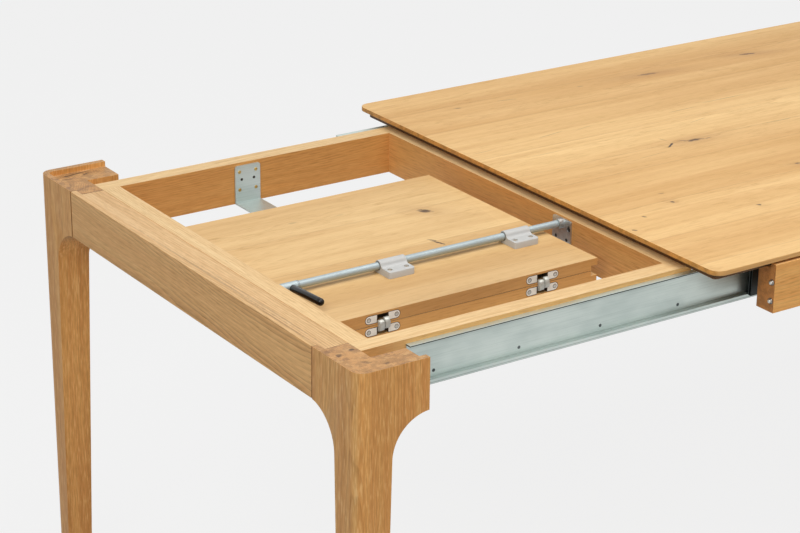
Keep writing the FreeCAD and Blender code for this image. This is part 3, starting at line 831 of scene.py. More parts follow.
def lofted(name: str, material: bpy.types.Material,
           sections: Sequence[Sequence[Vector]]) -> bpy.types.Object:
    """A closed skin over sections that have the same number of points.

    Args:
        name: the piece's name.
        material: its finish.
        sections: the outlines, one after another; the first and last are filled.

    Returns:
        The new piece.
    """
    shape = bmesh.new()
    rings = [[shape.verts.new(point) for point in section] for section in sections]
    for lower, upper in zip(rings, rings[1:]):
        for i in range(len(lower)):
            j = (i + 1) % len(lower)
            shape.faces.new((lower[i], lower[j], upper[j], upper[i]))
    shape.faces.new(rings[0])
    shape.faces.new(list(reversed(rings[-1])))
    return drawn(name, shape, material)


def joined(name: str, pieces: Sequence[bpy.types.Object],
           material: bpy.types.Material) -> bpy.types.Object:
    """Make one piece of several that have one finish.

    Args:
        name: the new piece's name.
        pieces: the pieces, which are removed.
        material: the finish.

    Returns:
        The new piece.
    """
    shape = bmesh.new()
    for piece in pieces:
        shape.from_mesh(piece.data)
        bpy.data.objects.remove(piece)
    return new_piece(name, plain_mesh(name, shape), material)


def mount(piece: bpy.types.Object, body: str, slot: str, *nodes: str) -> bpy.types.Object:
    """Fix a piece to its body and let it stand for CAD nodes.

    Args:
        piece: the finished piece.
        body: the body that it moves with.
        slot: not used.
        nodes: the CAD nodes that it replaces.

    Returns:
        The piece.
    """
    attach(piece, body)
    if nodes:
        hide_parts(*nodes)
    return piece


def dressed(node: str, body: str, slot: str, material: bpy.types.Material,
            edge: Edge) -> bpy.types.Object:
    """Mount a copy of a part's own shape with its edges eased.

    Args:
        node: the part.
        body: the body that it moves with.
        slot: the record's material slot.
        material: its finish.
        edge: how its edges are eased.

    Returns:
        The new piece.
    """
    shape = bmesh.new()
    shape.from_mesh(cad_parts[node].data)
    bmesh.ops.remove_doubles(shape, verts=shape.verts, dist=WELD)
    bmesh.ops.dissolve_limit(shape, angle_limit=math.radians(FLAT), verts=shape.verts,
                             edges=shape.edges)
    piece = new_piece(f"{node}_finished", plain_mesh(node, shape), material)
    return mount(eased(piece, edge), body, slot, node)


def middle(node: str) -> Vector:
    """The middle of a CAD part's box."""
    low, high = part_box(node)
    return (low + high) / 2


# --- what repeats: screws, studs, link plates ----------------------------------------------------

def geometry_tree(name: str, **inputs: str) -> tuple:
    """Start a geometry tree that gets points, a turn and a finish.

    Args:
        name: the tree's name.
        inputs: each further input's name and kind.

    Returns:
        The tree, its graph and its inputs.
    """
    tree = bpy.data.node_groups.new(name, "GeometryNodeTree")
    kinds = {"Geometry": "Geometry", **inputs, "Turn": "Vector", "Material": "Material"}
    for title, kind in kinds.items():
        tree.interface.new_socket(title, in_out="INPUT", socket_type=f"NodeSocket{kind}")
    tree.interface.new_socket("Geometry", in_out="OUTPUT", socket_type="NodeSocketGeometry")
    g = Graph(tree)
    return tree, g, g.add("NodeGroupInput").outputs


def place_copies(g: Graph, given: Any, shape: bpy.types.NodeSocket) -> None:
    """End a geometry tree: set a shape on every point, make it real and give it its finish.

    Args:
        g: the tree's graph.
        given: the tree's inputs.
        shape: the geometry that is repeated.
    """
    rows = g.fill(g.add("GeometryNodeInstanceOnPoints"), Points=given["Geometry"], Instance=shape,
                  Rotation=given["Turn"])
    whole = g.fill(g.add("GeometryNodeRealizeInstances"), Geometry=rows.outputs["Instances"])
    coat = g.fill(g.add("GeometryNodeSetMaterial"), Geometry=whole.outputs["Geometry"],
                  Material=given["Material"])
    g.fill(g.add("NodeGroupOutput"), Geometry=coat.outputs["Geometry"])


def make_copy_tree() -> bpy.types.NodeTree:
    """The nodes that set a copy of one small shape on every point of a mesh.

    Returns:
        A geometry tree with the inputs Shape, Turn and Material.
    """
    tree, g, given = geometry_tree("copies_of_a_shape", Shape="Object")
    source = g.fill(g.add("GeometryNodeObjectInfo"), Object=given["Shape"])
    place_copies(g, given, source.outputs["Geometry"])
    return tree


def make_screw_tree() -> bpy.types.NodeTree:
    """The nodes that set one crosshead screw on every point of a mesh.

    Returns:
        A geometry tree with the inputs Radius, Rise, Turn and Material.
    """
    tree, g, given = geometry_tree("crosshead_screws", Radius="Float", Rise="Float")
    radius, rise = given["Radius"], given["Rise"]
    dome = g.fill(g.add("GeometryNodeMeshUVSphere"), Segments=28, Rings=14, Radius=radius)
    flat = g.fill(g.add("GeometryNodeTransform"), Geometry=dome.outputs["Mesh"],
                  Scale=g.join(1.0, 1.0, g.math("DIVIDE", rise, radius)))
    arms = g.add("GeometryNodeJoinGeometry")
    for across, up in ((1.2, 0.30), (0.30, 1.2)):
        size = g.join(g.times(radius, across), g.times(radius, up), g.times(rise, 1.4))
        bar = g.fill(g.add("GeometryNodeMeshCube"), Size=size)
        lift = g.fill(g.add("GeometryNodeTransform"), Geometry=bar.outputs["Mesh"],
                      Translation=g.join(0.0, 0.0, rise))
        g.fill(arms, Geometry=lift.outputs["Geometry"])
    carve = g.fill(g.add("GeometryNodeMeshBoolean", operation="DIFFERENCE"),
                   Mesh_1=flat.outputs["Geometry"], Mesh_2=arms.outputs["Geometry"])
    smooth = g.fill(g.add("GeometryNodeSetShadeSmooth"), Geometry=carve.outputs["Mesh"])
    place_copies(g, given, smooth.outputs["Geometry"])
    return tree


COPY_TREE = make_copy_tree()
SCREW_TREE = make_screw_tree()


@dataclass(frozen=True)
class Row:
    """The same small thing at several places on one body, facing one way."""

    name: str
    body: str
    slot: str
    material: bpy.types.Material
    facing: Vector = field(default_factory=UP.copy)
    smooth_angle: float = 32.0

    def _repeated(self, tree: bpy.types.NodeTree, places: Sequence[Vector], nodes: Sequence[str],
                  **values: Any) -> bpy.types.Object:
        """Run a geometry tree on the places.

        Args:
            tree: the tree.
            places: the points.
            nodes: the CAD nodes that the result stands for.
            values: the tree's own inputs by name.

        Returns:
            The mounted piece.
        """
        mesh = bpy.data.meshes.new(self.name)
        mesh.from_pydata([tuple(p) for p in places], [], [])
        piece = linked(self.name, mesh)
        modifier = piece.modifiers.new("row", "NODES")
        modifier.node_group = tree
        values["Turn"] = tuple(UP.rotation_difference(self.facing).to_euler())
        values["Material"] = self.material
        for socket in tree.interface.items_tree:
            if socket.in_out == "INPUT" and socket.name in values:
                modifier[socket.identifier] = values[socket.name]
        settled(piece).data.set_sharp_from_angle(angle=math.radians(self.smooth_angle))
        return mount(piece, self.body, self.slot, *nodes)

    def screws(self, places: Sequence[Vector], head: Head, *nodes: str) -> bpy.types.Object:
        """A domed head with a crossed recess at each place, as one piece."""
        return self._repeated(SCREW_TREE, places, nodes, Radius=head.radius, Rise=head.rise)

    def copies(self, places: Sequence[Vector], shape: bpy.types.Object,
               *nodes: str) -> bpy.types.Object:
        """Set a copy of a shape at each place.

        Args:
            places: where its origin goes.
            shape: the shape, round the origin and facing up, which is removed.
            nodes: the CAD nodes that the copies stand for.

        Returns:
            All the copies, as one piece.
        """
        piece = self._repeated(COPY_TREE, places, nodes, Shape=shape)
        bpy.data.objects.remove(shape)
        return piece


# --- the table's wood ----------------------------------------------------------------------------

@dataclass
class Woodwork:
    """Boards of one body whose CAD shape only wants eased edges."""

    body: str
    slot: str
    finishes: dict[str, Oak]
    edge: Edge = Edge(1.2 * MM)

    def build(self) -> list[bpy.types.Object]:
        """One eased board for each part named in finishes."""
        return [dressed(node, self.body, self.slot, finish.material(), self.edge)
                for node, finish in self.finishes.items()]


def marks(*rows: Sequence[float]) -> tuple[Knot, ...]:
    """Knots and checks from rows of their fields."""
    return tuple(Knot(*row) for row in rows)


TOP_MARKS = marks(
    (-180, 8.5, 20, 5.6, -4, 0.85, 10, 0.9), (-235, 8.5, 16, 2.6, 34), (-153, 4, 10, 1.3, 2, 0.7),
    (-228, 40, 12.5, 1.3, -74, 0.45), (-203, 17, 14, 1.8, -17, 0.65),
    (12, 369, 28, 5.2, -5, 0.55, 6, 1.4), (277, 372, 21, 4.6, -12, 0.7, 6, 1.2),
    (-322, 378, 21, 1.8, -12, 0.35), (-431, 385, 8, 2.8, -6, 0.45, 3), (-152, 374, 10, 2.2, -5, 0.4),
    (-426, -220, 5.5, 3.6, -69, 0.8, 3), (-314, -307, 5, 3.6, -32, 0.8, 3),
    (-563, -290, 6, 3.2, -59, 0.75), (-511, -250, 4.5, 3, -46, 0.7), (-414, -178, 7, 2, -16, 0.5),
    (-113, -185, 7, 4, -5, 0.8, 3), (38, 169, 63, 1.1, 0, 0.55), (-83, 157, 42, 1.0, 2, 0.45),
    (165, 155, 28, 0.9, -1, 0.35), (-381, 169, 36, 1.1, 9, 0.4), (-535, 154, 30, 1.0, 4, 0.35),
    (-290, -17, 37, 1.0, 4, 0.35), (32, 12, 41, 1.1, -1, 0.45), (-453, 88, 45, 1.0, 0, 0.3),
    (-301, 169, 30, 0.9, 12, 0.3), (-98, 93, 26, 1.0, 11, 0.35),
    (620, -180, 12, 6, 0, 0.8, 8), (950, 270, 10, 4, 0, 0.7, 6))
LEAF_MARKS = marks(
    (-726.4, 59.8, 14.5, 7.8, -50, 0.9, 9, 0.7), (-791.5, -75.5, 17.5, 2.4, -67, 1.0),
    (-794, -60, 11, 2.2, -60, 0.9), (-943, 128.8, 12, 4, 0, 0.2, 9), (-857, 120, 10, 3, 0, 0.15, 7),
    # the last row is no knot: a broad, soft darkening along the leaf's hinge edge
    (-900, -262, 130, 20, 0, 0.06, 0.1, 10.0))
APRON_MARKS = marks(
    (-1207.5, 130, 260, 3.4, 90, 0.30), (-1200.5, -40, 300, 3.0, 90.4, 0.28),
    (-1193.5, -190, 200, 2.6, 89.6, 0.24), (-1214.5, -270, 140, 2.2, 90, 0.30))
LEG_MARKS = {
    "near": marks((-1198, -413, 8, 4.5, 25, 0.6), (-1178, -452, 10, 5, -35, 0.5),
                  (-1155, -470, 6, 4, 10, 0.5), (-1172, -405, 4.5, 3.5, 0, 0.85)),
    "far": marks((-1168, 480.5, 27, 3.0, 9, 0.85), (-1150, 473, 12, 2.4, 35, 0.7),
                 (-1190, 462, 12, 4, -20, 0.45))}
# painted shade in the groove where each leg meets its apron
LEG_GAP_SHADE = Crease(1, 0.3825, 0.85 * MM, 0.75)
TOP_WOOD = {
    "light": (0.87, 0.59, 0.265), "dark": (0.62, 0.345, 0.115), "line": (0.48, 0.25, 0.075),
    # the x and y multipliers are painted shade on the top's edges
    "end": (0.72, 0.34, 0.075), "side_shade_x": (0.80, 0.72, 0.62), "side_shade_y": (0.92, 0.80, 0.66),
    "stave": 0.118, "spacing": 0.0062, "contrast": 0.22, "streaks": 0.14, "flecks": 0.04,
    # the top's lower layer under the lip is painted near black: painted shadow in the gap beneath the
    # overhang
    "blotch": 0.1, "joints": (Crease(2, 0.745, 7.4 * MM, 0.9, 0.88),)}
LEAF_WOOD = {
    **TOP_WOOD, "light": (0.84, 0.59, 0.285), "dark": (0.63, 0.39, 0.16), "stave": 0.15,
    # the y-facing multiplier is painted shade on the leaf's long edges; the line at z 0.696 is painted
    # shade in the gap where the halves meet
    "side_shade_y": (0.92, 0.70, 0.46), "joints": (Crease(2, 0.696, 0.75 * MM, 0.9),)}
RAIL_WOOD = {
    "light": (0.87, 0.64, 0.345), "dark": (0.74, 0.50, 0.235), "contrast": 0.28, "streaks": 0.22,
    # the x and y multipliers are painted shade on the rails' upright faces
    "side_shade_x": (0.93, 0.67, 0.40), "side_shade_y": (0.95, 0.68, 0.41)}
APRON_WOOD = {
    "light": (0.98, 0.60, 0.25), "dark": (0.78, 0.44, 0.16), "end": (0.50, 0.20, 0.045), "blotch": 0.1}


def main_frame_boards() -> dict[str, Oak]:
    """Finishes of the fixed frame's boards.

    Returns:
        The finish of each part.
    """
    boards = {"fixed_end_apron": Oak("oak_fixed_end_apron", Grain.ACROSS, 31.1, joints=(LEG_GAP_SHADE,))}
    for i, side in enumerate(("near", "far")):
        boards[f"side_apron_{side}"] = Oak(f"oak_side_apron_{side}", Grain.ALONG, 11.3 + i, **APRON_WOOD)
        boards[f"fixed_leg_{side}"] = Oak(f"oak_fixed_leg_{side}", Grain.UPRIGHT, 21.9 + i, flecks=0.34)
    return boards


def end_frame_boards() -> dict[str, Oak]:
    """Finishes of the end frame's legs and apron.

    Returns:
        The finish of each part.
    """
    boards = {"end_apron": Oak(
        "oak_end_apron", Grain.ACROSS, 41.6, light=(0.80, 0.54, 0.275), dark=(0.65, 0.395, 0.17),
        line=(0.33, 0.185, 0.068), spacing=0.0052, contrast=0.66, side_shade_x=(1.04, 0.93, 0.73),
        knots=APRON_MARKS, joints=(LEG_GAP_SHADE,))}
    for i, side in enumerate(("near", "far")):
        boards[f"end_leg_{side}"] = Oak(
            f"oak_end_leg_{side}", Grain.UPRIGHT, 51.2 + i, contrast=0.42, streaks=0.40, flecks=0.40,
            joints=(LEG_GAP_SHADE,), knots=LEG_MARKS[side])
    return boards


def well_boards() -> dict[str, Oak]:
    """Finishes of the leaf well's rails, which are paler.

    Returns:
        The finish of each part.
    """
    # the y-facing multipliers are painted shade on the rails' inner faces, deeper on the far rail
    rails = (("near", Grain.ALONG, 61.4, {"side_shade_y": (1.0, 0.84, 0.60)}),
             ("far", Grain.ALONG, 62.8, {"side_shade_y": (0.88, 0.60, 0.33)}),
             ("outer", Grain.ACROSS, 63.5, {}), ("inner", Grain.ACROSS, 64.1, {}))
    return {f"well_rail_{side}": Oak(f"oak_rail_{side}", grain, seed, **{**RAIL_WOOD, **own})
            for side, grain, seed, own in rails}


@dataclass
class Leaf:
    """The folding leaf's two halves."""

    edge: Edge = Edge(1.0 * MM)

    def build(self) -> list[bpy.types.Object]:
        """Make both halves, each on its own body.

        Returns:
            The halves.
        """
        halves = {"leaf_a": Oak("oak_leaf_a", Grain.ALONG, 71.3, knots=LEAF_MARKS, **LEAF_WOOD),
                  "leaf_b": Oak("oak_leaf_b", Grain.ALONG, 72.9, **LEAF_WOOD)}
        return [dressed(node, node, "panel_oak", finish.material(), self.edge)
                for node, finish in halves.items()]


# --- slides, studs and feet ----------------------------------------------------------------------

@dataclass
class Slides:
    """Three nested zinc plated channels a side, and the innermost ones' screws; sizes in metres."""

    edge: Edge = Edge(0.6 * MM, 2)
    head: Head = Head(2.7 * MM, 0.7 * MM)
    screw_count: int = 4
    # levels of the painted shade lines on the inner channels: under the top flange's edge, along the web
    # and in the lower folds
    top_line: float = 1.2 * MM
    web_line: float = 8.5 * MM
    foot_line: float = 7.4 * MM
    lip_line: float = 2.6 * MM
    # how far painted shade reaches into the middle and outer channels from their mouths
    middle_shade: float = 26.0 * MM
    outer_shade: float = 60.0 * MM

    def build(self) -> list[bpy.types.Object]:
        """Make the six channels and two rows of screws.

        Returns:
            The pieces.
        """
        low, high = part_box("slide_inner_near")
        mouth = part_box("slide_outer_near")[0].x
        # the inner channels get painted shade lines; the near middle channel and the outer channels are
        # painted near black towards their mouths, as painted shade under the tabletop
        coats = {
            "inner": Zinc("slide_zinc_plating", creases=(
                Crease(2, high.z - self.top_line, 1.15 * MM, 0.92, 0.6),
                Crease(2, low.z + self.foot_line, 0.8 * MM, 0.25),
                Crease(2, low.z + self.lip_line, 0.9 * MM, 0.40),
                Crease(2, low.z, 1.0 * MM, 0.4),
                Crease(2, high.z - self.web_line, 0.7 * MM, 0.16))),
            "middle_near": Zinc("slide_zinc_middle_near", creases=(
                Crease(0, mouth, self.middle_shade, 0.97, 0.85),)),
            "middle": Zinc("slide_zinc_middle"),
            "outer": Zinc("slide_zinc_outer", creases=(Crease(0, mouth, self.outer_shade, 0.98, 0.9),))}
        finishes = {stage: coat.material() for stage, coat in coats.items()}
        steel = Zinc("slide_screw_steel", (0.16, 0.18, 0.18), (0.07, 0.08, 0.08)).material()
        pieces = []
        for side, out in (("near", -1.0), ("far", 1.0)):
            bodies = {"inner": "end_frame", "middle": f"{side}_stage", "outer": "main_frame"}
            for stage, body in bodies.items():
                finish = finishes.get(f"{stage}_{side}", finishes[stage])
                pieces.append(dressed(f"slide_{stage}_{side}", body, "slide_zinc", finish, self.edge))
            pieces.append(self._screws(side, out, steel))
        return pieces

    def _screws(self, side: str, out: float, steel: bpy.types.Material) -> bpy.types.Object:
        """Make one side's row of screws.

        Args:
            side: near or far.
            out: which way that side looks along y.
            steel: the screws' finish.

        Returns:
            The screws.
        """
        node = f"slide_screws_{side}"
        low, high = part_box(node)
        face = low.y if out < 0 else high.y
        inset = (high.z - low.z) / 2
        first, last = low.x + inset, high.x - inset
        step = (last - first) / (self.screw_count - 1)
        places = [Vector((first + step * i, face, low.z + inset)) for i in range(self.screw_count)]
        return Row(f"slide_screw_heads_{side}", "end_frame", "screw_dark", steel,
                   Vector((0.0, out, 0.0))).screws(places, self.head, node)


@dataclass
class Studs:
    """Domed studs on the ends of the long aprons, each in a bright collar with near-black painted shade
    round the collar and under the head; sizes in millimetres.
    """

    reach: float = 20.0
    shown: float = 5.0
    pitch: float = 31.0
    sides: int = 24

    def build(self) -> list[bpy.types.Object]:
        """Make two studs with collars on each side.

        Returns:
            The pieces.
        """
        steel = Zinc("stud_steel", (0.66, 0.65, 0.61), (0.52, 0.51, 0.47), 0.26, 0.95).material()
        # near black rings round each collar and under each head: painted shade
        dark = Moulded("stud_groove_shadow", (0.03, 0.026, 0.022), 0.5).material()
        tip, wall = self.reach, self.reach - self.shown
        turned = (
            ("heads", "bright_steel", steel, (
                (0, 0), (0, 3.4), (tip - 3.0, 3.4), (tip - 1.6, 3.1), (tip - 0.5, 2.0), (tip, 0))),
            ("collars", "bright_steel", steel, (
                (wall - 1.0, 0), (wall - 1.0, 4.3), (wall + 0.5, 4.3), (wall + 0.9, 4.0),
                (wall + 0.9, 0))),
            ("rings", "screw_dark", dark, (
                (wall - 1.0, 0), (wall - 1.0, 5.1), (wall + 0.15, 5.1), (wall + 0.15, 0))),
            ("necks", "screw_dark", dark, (
                (wall + 0.8, 0), (wall + 0.8, 3.9), (wall + 1.05, 3.9), (wall + 1.05, 0))))
        pitch = self.pitch * MM
        pieces = []
        for side in ("near", "far"):
            node = f"locating_studs_{side}"
            low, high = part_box(node)
            height = low.z + (high.z - low.z - pitch) / 2
            places = [Vector((high.x, (low.y + high.y) / 2, height + pitch * i)) for i in (0, 1)]
            for title, slot, finish, profile in turned:
                shape = lathed(f"{title}_shape", finish, profile, self.sides)
                row = Row(f"stud_{title}_{side}", "main_frame", slot, finish, LEFT)
                pieces.append(row.copies(places, shape, *([node] if title == "heads" else [])))
        return pieces


@dataclass
class Feet:
    """Nylon glides under the legs, and the spacers behind the slides."""

    edge: Edge = Edge(0.8 * MM)

    def build(self) -> list[bpy.types.Object]:
        """Make two pairs of glides and two spacers.

        Returns:
            The pieces.
        """
        nylon = Moulded("glide_nylon", (0.16, 0.14, 0.12), 0.5).material()
        pieces = [dressed(f"foot_glides_{end}", body, "glide_plastic", nylon, self.edge)
                  for end, body in (("end", "end_frame"), ("fixed", "main_frame"))]
        for i, side in enumerate(("near", "far")):
            wood = Oak(f"oak_spacer_{side}", Grain.ALONG, 81.5 + i, **RAIL_WOOD).material()
            pieces.append(dressed(f"slide_spacer_{side}", "main_frame", "rail_wood", wood, self.edge))
        return pieces


# --- bracket under the leaf ----------------------------------------------------------------------

@dataclass
class Bracket:
    """The angle bracket that carries the folded leaf's far side; sizes in metres."""

    edge: Edge = Edge(0.5 * MM, 2)
    pad_edge: Edge = Edge(1.0 * MM)
    head: Head = Head(3.2 * MM, 1.3 * MM)
    head_stand: float = 1.6 * MM
    screw_across: float = 16.4 * MM
    screw_low: float = 25.6 * MM
    screw_pitch: float = 33.0 * MM
    hole_across: float = 12.3 * MM
    hole_up: float = 44.4 * MM

    def build(self) -> list[bpy.types.Object]:
        """Make the bracket, its four brass coloured screws, near-black discs in two holes as painted
        shadow, and the rubber pad.

        Returns:
            The pieces.
        """
        zinc = Zinc("bracket_zinc", (0.60, 0.66, 0.63), (0.50, 0.56, 0.54), 0.38, 0.8).material()
        brass = Zinc("bracket_screw_brass", (0.52, 0.36, 0.12), (0.34, 0.22, 0.07), 0.34, 0.9).material()
        # near-black discs in the open holes: painted shadow
        dark = Moulded("bracket_hole_shadow", (0.02, 0.015, 0.01), 0.6).material()
        rubber = Moulded("bracket_pad_rubber", (0.10, 0.10, 0.10), 0.8, 2200.0, 0.15, 0.3).material()
        low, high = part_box("leaf_bracket")
        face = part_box("bracket_screws")[0].y + self.head_stand
        mid = (low.x + high.x) / 2
        corners = [Vector((mid + s * self.screw_across, face, low.z + self.screw_low + up))
                   for s in (-1, 1) for up in (0.0, self.screw_pitch)]
        holes = [Vector((mid + s * self.hole_across, face, low.z + self.hole_up)) for s in (-1, 1)]
        return [
            dressed("leaf_bracket", "end_frame", "slide_zinc", zinc, self.edge),
            Row("bracket_screw_heads", "end_frame", "screw_yellow", brass, NEAR).screws(
                corners, self.head, "bracket_screws"),
            Row("bracket_open_holes", "end_frame", "screw_dark", dark, NEAR).copies(
                holes, disc("hole_shape", dark, -0.3, 0.12, 2.6, 20)),
            dressed("bracket_pad", "end_frame", "pad_felt", rubber, self.pad_edge)]


# --- pivot rod, plate, lever and saddles ---------------------------------------------------------

@dataclass
class Pivot:
    """The rod that the leaf turns on, the plate that holds it and the lever on its outer end."""

    chamfer: float = 0.7
    rise: float = 3.5
    grip_from: float = 9.0
    grip_to: float = 94.0
    # the seam sizes below are for painted shade rings in the gaps beside the rod's ring
    seam_half: float = 0.3
    seam_proud: float = 0.03
    seam_off: float = 0.15 * MM
    keyhole_off: float = 19.0 * MM
    keyhole_drop: float = 6.6 * MM
    keyhole_depth: float = 1.6 * MM
    keyed_head: Head = Head(4.3 * MM, 1.2 * MM)
    collar_stand: float = 3.0 * MM
    screw_off: float = 14.0 * MM
    small_head: Head = Head(3.0 * MM, 0.9 * MM)
    ring_edge: Edge = Edge(0.25 * MM)
    arm_edge: Edge = Edge(0.5 * MM, 3, 40)
    plate_edge: Edge = Edge(0.5 * MM, 2, 40)

    def build(self) -> list[bpy.types.Object]:
        """Make the rod, ring, plate with screws, lever arm and grip.

        Returns:
            The pieces.
        """
        steel = Zinc("rod_steel", (0.42, 0.49, 0.505), (0.36, 0.42, 0.435), 0.48, 0.35, 0.06).material()
        low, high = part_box("pivot_rod")
        axis = middle("pivot_rod")
        length, radius, cut = (high.x - low.x) / MM, (high.z - low.z) / 2 / MM, self.chamfer
        bar = lathed("pivot_rod_bar", steel, (
            (0, 0), (0, radius - cut), (cut, radius), (length - cut, radius), (length, radius - cut),
            (length, 0)), 48, Vector((low.x, axis.y, axis.z)), RIGHT)
        return [
            mount(bar, "pivot_rod", "bright_steel", "pivot_rod"),
            dressed("rod_ring", "pivot_rod", "bright_steel", steel, self.ring_edge),
            dressed("lever_arm", "lever", "bright_steel", steel, self.arm_edge),
            self._seam_shadows(axis), self._grip(axis), *self._plate(axis)]

    def _seam_shadows(self, axis: Vector) -> bpy.types.Object:
        """Make the two thin near-black rings in the gaps beside the sleeve's ring: painted shade.

        Args:
            axis: a point on the rod's axis.

        Returns:
            The painted shade rings, as one piece.
        """
        # near black: painted shade in the gaps
        dark = Moulded("seam_gap_shadow", (0.05, 0.055, 0.055), 0.5).material()
        low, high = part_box("rod_ring")
        radius = (high.z - low.z) / 2 / MM + self.seam_proud
        ring = disc("seam_shape", dark, -self.seam_half, self.seam_half, radius, 36)
        places = [Vector((x, axis.y, axis.z)) for x in (low.x - self.seam_off, high.x + self.seam_off)]
        return Row("rod_ring_seams", "pivot_rod", "screw_dark", dark, RIGHT).copies(places, ring)

    def _grip(self, axis: Vector) -> bpy.types.Object:
        """Make the glossy grip, with a groove near its rounded end.

        Args:
            axis: a point on the rod's axis.

        Returns:
            The grip.
        """
        black = Moulded("grip_black_plastic", (0.006, 0.005, 0.004), 0.19, relief=0.01, patchy=0.2,
                        gloss=0.28).material()
        low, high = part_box("lever_grip")
        a, b, r = self.grip_from, self.grip_to, (high.x - low.x) / 2 / MM
        rise = math.radians(self.rise)
        piece = lathed("lever_grip_moulded", black, (
            (a, 0), (a, r - 0.8), (a + 0.3, r - 0.3), (a + 1.0, r), (b - 10.8, r),
            (b - 10.4, r - 0.4), (b - 9.6, r - 0.4), (b - 9.2, r), (b - 5.2, r),
            (b - 3.4, r - 0.5), (b - 1.8, r - 1.6), (b - 0.6, r - 3.4), (b, 0)), 44,
            Vector((middle("lever_grip").x, axis.y, axis.z)),
            Vector((0.0, -math.cos(rise), math.sin(rise))))
        return mount(piece, "lever", "grip_black", "lever_grip")

    def _plate(self, axis: Vector) -> list[bpy.types.Object]:
        """Make the plate with its collar, near-black screws in the keyholes whose colour is painted
        shade, and small screws below.

        Args:
            axis: a point on the rod's axis.

        Returns:
            The pieces.
        """
        metal = Zinc("pivot_plate_steel", (0.76, 0.82, 0.83), (0.42, 0.43, 0.42), 0.28).material()
        dark = Zinc("plate_screw_steel", (0.10, 0.10, 0.095), (0.035, 0.033, 0.03), 0.4, 0.7).material()
        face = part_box("pivot_plate")[1].x
        low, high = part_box("plate_screws")
        inset = (high.y - low.y) / 2 - self.screw_off
        keyed = [Vector((face - self.keyhole_depth, axis.y + s * self.keyhole_off,
                         axis.z - self.keyhole_drop)) for s in (-1, 1)]
        small = [Vector((face - self.collar_stand, axis.y + s * self.screw_off, z)) for s in (-1, 1)
                 for z in (low.z + inset, high.z - inset)]
        return [
            dressed("pivot_plate", "end_frame", "bright_steel", metal, self.plate_edge),
            # screw heads in the keyholes, near black: painted shade of the keyholes
            Row("keyhole_screw_heads", "end_frame", "screw_dark", dark, LEFT).screws(
                keyed, self.keyed_head),
            Row("plate_screw_heads", "end_frame", "screw_dark", dark, LEFT).screws(
                small, self.small_head, "plate_screws")]


